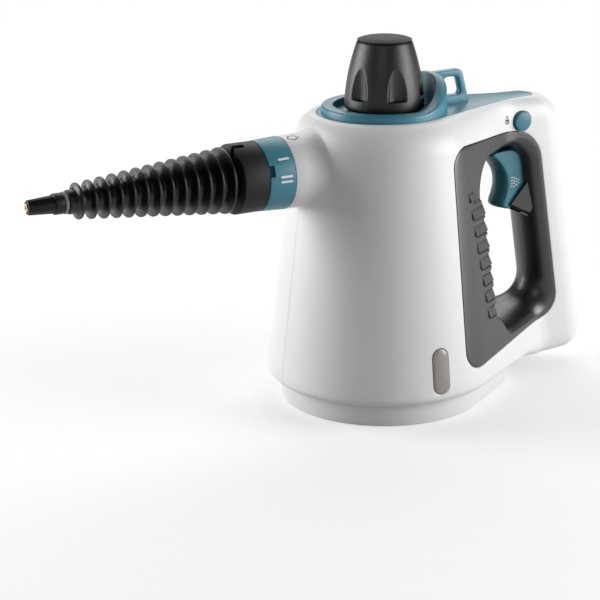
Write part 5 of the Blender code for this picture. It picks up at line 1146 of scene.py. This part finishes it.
ring_profile = [(15.3, -75.0), (22.5, -75.0), (21.6, -92.0), (15.3, -92.0)]
ring = turned("steam_ring_skin", ring_profile, "X", NOZZLE_AT, 160, 0.7)
combine(ring, nozzle_box(18.5, 3.5, (18.6, 27.5), (-97, -88.5)))
dress(finish_mesh(ring), "ring_teal", "steam_selector", "steam_ring")


def bar_parts(turn, low_x, high_x, half=0.7 * MM):
    """A bar with round ends, bent round the ring: a closed outline, once below and once above the surface."""
    bow = np.linspace(0, math.pi, 13)
    along = np.concatenate((low_x + half - half * np.sin(bow), high_x - half + half * np.sin(bow)))
    across = np.concatenate((half * np.cos(bow), -half * np.cos(bow)))
    return tube_parts([around_nozzle(turn + across / ring_r(along), ring_r(along) + lift, along)
                       for lift in (-0.12 * MM, 0.035 * MM)])


bars = [(36, -85.2, -77.8), (7.6, -85.2, -77.3), (-0.3, -85.2, -77.3)]
marks = body_from("ring_marks", [bar_parts(math.radians(t), a * MM, b * MM) for t, a, b in bars], 50)
coat(marks, "print_white")
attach(marks, "steam_selector")
print("bars:", len(bars))

# %% [markdown]
# ## Nozzle
# The collar plugs on in front of the ring and shows a small window for its latch. The cone behind the tip is
# turned: thirteen thin fins whose radius grows by 0.78 mm from one to the next, on a core of 0.62 of it. An
# Array would repeat equal fins, and these all differ, so a loop writes one profile for the whole cone. The
# fins' rims are rounded, so each one carries its own line of light, and the gaps between them stay dark.

# %% Collar and cone
collar_profile = [(15.3, -92.3), (21.5, -92.3), (21.5, -108.8), (11.3, -108.8), (11.3, -106.4),
                  (15.3, -106.4)]
holder = turned("collar_skin", collar_profile, "X", NOZZLE_AT, 160, 0.9)
for half, r_ends, x_ends in ((2.0, (14.5, 26.5), (-110, -101.5)), (3.0, (14.5, 18.9), (-105, -87))):
    combine(holder, nozzle_box(77, half, r_ends, x_ends))
dress(finish_mesh(holder), "collar_black", "nozzle", "nozzle_collar")


def rib_profile(r, x):
    """One fin from its back to its front: thin at the rim, and swelling into the core by a cubic."""
    core = max(0.62 * r, 7.2)
    height = np.linspace(0, 1, 6)
    half = 0.75 + 1.5 * (1 - height) ** 3
    out = core + (r - core) * height
    return np.vstack([np.column_stack((out, x + half)), np.column_stack((out, x - half))[::-1]])


cone = [[(4.3, -101.8), (11.0, -101.8), (11.0, -109.1), (12.5, -109.1)]]
for rib in reversed(range(13)):
    cone.append(rib_profile(10.8 + 0.78 * rib, -208.1 + 7.81 * rib))
cone.append([(7.2, -213.9), (6.8, -214.6), (4.3, -214.6)])
nozzle = turned("cone_skin", np.vstack(cone), "X", NOZZLE_AT, 160, 0.36)
dress(nozzle, "nozzle_black", "nozzle", "cone_nozzle")
print("cone faces:", len(nozzle.data.polygons))

# %% [markdown]
# ## Tip
# A grey sealing ring sits behind the tip. The tip tapers and has eight flats, so that a hand or a spanner
# can hold it: its radius at an angle is the distance to the nearest flat, cut off at the corners. The flats
# are part of the radius, so nothing has to be cut. A brass insert with the jet's bore closes it.


# %% Tip
def tip_parts(profile, steps=96):
    """A turned profile whose round is pressed into eight flats with small rounded corners."""
    turn = full_turn(steps)
    away = (turn + math.pi / 8) % (math.pi / 4) - math.pi / 8
    flats = np.minimum(math.cos(math.pi / 8) * 1.03 / np.cos(away), 1.0)
    return tube_parts([around_nozzle(turn, r * MM * mix(1.0, flats, share), x * MM)
                       for r, x, share in profile])


seal_profile = [(4.3, -217.3), (6.6, -217.3), (6.6, -214.9), (4.3, -214.9)]
seal = turned("seal_ring_skin", seal_profile, "X", NOZZLE_AT, 96, 1.0)
dress(seal, "seal_grey", "nozzle", "nozzle_seal_ring")
tip_profile = ((3.0, -208.0, 0), (4.0, -208.0, 0), (4.0, -217.6, 0), (5.9, -217.6, 0), (6.2, -217.8, 0),
               (6.3, -218.2, 0), (6.3, -222.5, 0), (6.15, -222.85, 0), (5.8, -223.0, 0), (5.4, -223.05, 0.4),
               (5.4, -223.6, 1), (4.4, -238.4, 1), (4.2, -238.85, 1), (3.85, -239.0, 1), (2.8, -239.0, 0),
               (2.8, -230.0, 0), (1.0, -230.0, 0))
tip = body_from("tip_skin", [tip_parts(tip_profile)], 20)
dress(tip, "tip_black", "nozzle", "nozzle_tip")
jet_profile = [(0, -231.2), (2.5, -231.2), (2.5, -239.8), (0.9, -239.8), (0.9, -237.4), (0, -237.4)]
jet = turned("jet_skin", jet_profile, "X", NOZZLE_AT, 64, 0.35)
dress(jet, "brass", "nozzle", "jet_insert")
gland_profile = [(3.0, 149.8), (5.5, 149.8), (5.5, 148.9), (4.9, 148.6), (4.9, 147.9), (5.5, 147.6),
                 (5.5, 143.5), (7.5, 143.5), (7.5, 141.5), (5.5, 141.5), (5.5, 138), (3.0, 138)]
gland = turned("gland_skin", gland_profile, "X", GLAND_AT, 64, 0.35)
dress(gland, "rubber", "housing", "cord_gland")
print("tip faces:", len(tip.data.polygons))

# %% [markdown]
# ## Small printed signs
# A puff of steam on the neck shows which mark of the ring is chosen, a padlock stands beside the lock, and
# fine white dots on the trigger spread like a spray. They are thin inlays that lie on the surface under
# them. The lines of the puff and the padlock are short formulas laid over the surface by its own shape, so
# they bend with it.


# %% Signs
def on_neck(u, v, lift):
    """A flat drawing laid round the neck: u along the round, v along the axis."""
    return around_nozzle(math.radians(77.5) + u / NECK_R, NECK_R + lift, -68.2 * MM + v)


def on_side(u, v, lift):
    """A flat drawing laid on the left side of the handle: u along X, v up."""
    x, z = 80.3 * MM + u, 174.0 * MM + v
    return np.column_stack((x, -skin(x, z) - lift, z))


SIGN_LIFTS = {on_neck: (-0.15 * MM, 0.05 * MM), on_side: (0, 0.42 * MM)}


def line_parts(u, v, half, place):
    """A closed line of a given half width, as a band between two lifts over a surface."""
    low, high = SIGN_LIFTS[place]
    points = np.column_stack((u, v))
    across = across_of(points) * half
    outer, inner = points + across, points - across
    return loop_parts([place(p[:, 0], p[:, 1], lift) for p, lift in
                       ((outer, low), (outer, high), (inner, high), (inner, low))])


def squared(wave):
    """A wave with its hills pressed flat, which turns a circle into a square with round corners."""
    return np.sign(wave) * np.abs(wave) ** 0.35


phase = full_turn(120)
right, up = np.cos(phase), np.sin(phase)
cloud = (1.9 + 0.5 * np.abs(np.sin(2.5 * phase))) * MM
puff = body_from("steam_sign", [
    line_parts(cloud * right * 1.2, cloud * up * 1.4, 0.36 * MM, on_neck),
    line_parts(right * 1.5 * MM, 5.0 * MM + up * 0.55 * MM, 0.22 * MM, on_neck)], 50)
coat(puff, "print_dark")
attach(puff, "housing")
case = line_parts(squared(right) * 1.35 * MM, -1.2 * MM + squared(up) * 1.1 * MM, 0.34 * MM, on_side)
shackle = line_parts(right * 0.95 * MM, 0.7 * MM + up * 1.6 * MM, 0.28 * MM, on_side)
padlock = body_from("lock_sign", [case, shackle], 50)
coat(padlock, "print_dark")
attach(padlock, "housing")


def spray_parts():
    """Small discs on the side of the trigger, in columns that grow longer towards the front."""
    bow = full_turn(12)
    parts = []
    for column, dots in enumerate((4, 4, 3, 2)):
        for dot in range(dots):
            x, z = 92.4 + 1.75 * column, 129.6 + 1.95 * (dot - (dots - 1) / 2)
            disc_at = np.column_stack(((x + 0.46 * np.cos(bow)) * MM, (z + 0.46 * np.sin(bow)) * MM))
            parts.append(tube_parts([upright(disc_at, y * MM) for y in (-8.9, -9.03)]))
    return parts


spray = body_from("spray_sign", spray_parts(), 50)
coat(spray, "print_white")
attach(spray, "trigger_lever")
print("signs:", puff.name, padlock.name, spray.name)

# %% [markdown]
# ## Floor
# The cleaner stands on a pale floor that goes over into white. A curved backdrop would do it too, but a flat
# floor is enough: near the object it takes the soft shadow, and further out its own light makes it plain
# white.


# %% Floor
def floor_finish():
    """Pale matte floor: diffuse with its shadow near the object, and plain white further out.

    For camera, glossy and transmission rays a little of its own light lifts it to white. Other rays meet
    a middle grey, so the floor throws only a little light back on the object.
    """
    finish, tree, where = start("studio_floor", (0.62, 0.62, 0.62))
    rays = add(tree, "LightPath", {}).outputs
    seen = reckoned(tree, "MAXIMUM", rays["Is Camera Ray"], rays["Is Glossy Ray"])
    seen = reckoned(tree, "MAXIMUM", seen, rays["Is Transmission Ray"])
    length = add(tree, "VectorMath", {0: where})
    length.operation = "LENGTH"
    step = add(tree, "MapRange", {"From Min": 0.3, "From Max": 1.1, "Value": length.outputs["Value"]})
    step.interpolation_type = "SMOOTHSTEP"
    far = step.outputs["Result"]
    near = ranged(tree, noise(tree, where, 3, 2), 0.56, 0.58)
    level = add(tree, "Mix", {"Factor": far, 2: near, 3: 0.0}).outputs[0]
    shown = add(tree, "Mix", {"Factor": seen, 2: 0.42, 3: level}).outputs[0]
    glow = reckoned(tree, "MULTIPLY", ranged(tree, far, 0.46, 1.0), seen)
    shade(tree, {"Base Color": shown, "Emission Color": (1, 1, 1, 1), "Emission Strength": glow,
                 "Roughness": 0.9, "Specular IOR Level": 0.1})
    return finish


extent = np.array([(-9, -9, 0), (9, -9, 0), (9, 9, 0), (-9, 9, 0)], float) - (0, 0, 0.2 * MM)
sheet = bpy.data.meshes.new("studio_floor")
sheet.from_pydata(extent.tolist(), [], [(0, 1, 2, 3)])
sheet.materials.append(floor_finish())
ground = bpy.data.objects.new("studio_floor", sheet)
bpy.context.scene.collection.objects.link(ground)
print("floor:", ground.name)

# %% [markdown]
# ## Lamps
# Two large soft lamps, one at each side, draw the bright edges of the white body. The directions of the
# lamps come from the tones of that body: brightest at both edges, with a calm grey middle that hardly any
# lamp reaches. The side lamps stand at 141 and at -40 degrees round from +X. A third one, behind and above,
# lights the deck and the top, and a weak one in front lifts the shadows. Lamps and world stay low enough
# that no white surface loses its shape. A picture of a studio round the object would be quicker, but four
# lamps can be moved one by one.


# %% Lamps and world
def lamp(name, turn, rise, away, size, share):
    """A square lamp at an angle round the object and a rise over the floor, that looks at the body.

    Its power follows from the share of full light that it gives a white surface that faces it:
    share times pi squared times the square of its distance.
    """
    aim = Vector((-0.02, 0, 0.12))
    turn, rise = math.radians(turn), math.radians(rise)
    way = Vector((math.cos(turn) * math.cos(rise), math.sin(turn) * math.cos(rise), math.sin(rise)))
    data = bpy.data.lights.new(name, "AREA")
    data.shape, data.size = "SQUARE", size
    data.energy = share * (math.pi * away) ** 2
    made = bpy.data.objects.new(name, data)
    made.location = aim + way * away
    made.rotation_mode = "QUATERNION"
    made.rotation_quaternion = (-way).to_track_quat("-Z", "Y")
    made.visible_camera = False
    bpy.context.scene.collection.objects.link(made)
    print(name, "watts", round(data.energy, 1))


lamp("left_softbox", 141, 14, 1.3, 0.8, 1.03)
lamp("right_softbox", -40, 14, 1.3, 0.8, 1.0)
lamp("back_softbox", 55, 38, 1.4, 1.2, 0.54)
lamp("front_softbox", -130, 30, 1.4, 0.5, 0.08)

world = bpy.data.worlds.new("studio")
bpy.context.scene.world = world
world.use_nodes = True
sky_tree = world.node_tree
seen_ray = add(sky_tree, "LightPath", {}).outputs["Is Camera Ray"]
strength = ranged(sky_tree, seen_ray, 0.07, 1.0)
feed(sky_tree, sky_tree.nodes["Background"], {"Color": (1, 1, 1, 1), "Strength": strength})
print("world:", world.name)

# %% [markdown]
# ## Camera
# The camera stands where the picture was taken from, found by matching known points of the model to the
# picture: a long lens of 116.5 mm, a little above the object, looking down on it by about 18 degrees. A
# shorter lens nearer by would show the same view with the nozzle too large.

# %% Camera
eye_data = bpy.data.cameras.new("camera")
eye_data.lens, eye_data.sensor_width = 116.52, 36
eye_data.dof.use_dof = False
camera = bpy.data.objects.new("camera", eye_data)
forward = Vector((0.4634, 0.8320, -0.3051))
turned_to = forward.to_track_quat("-Z", "Y").to_matrix() @ Matrix.Rotation(math.radians(-0.374), 3, "Z")
camera.rotation_mode = "QUATERNION"
camera.location, camera.rotation_quaternion = (-0.6245, -1.0120, 0.4426), turned_to.to_quaternion()
bpy.context.scene.collection.objects.link(camera)
bpy.context.scene.camera = camera
bpy.context.scene.view_settings.view_transform = "Standard"
print("camera:", tuple(camera.location))
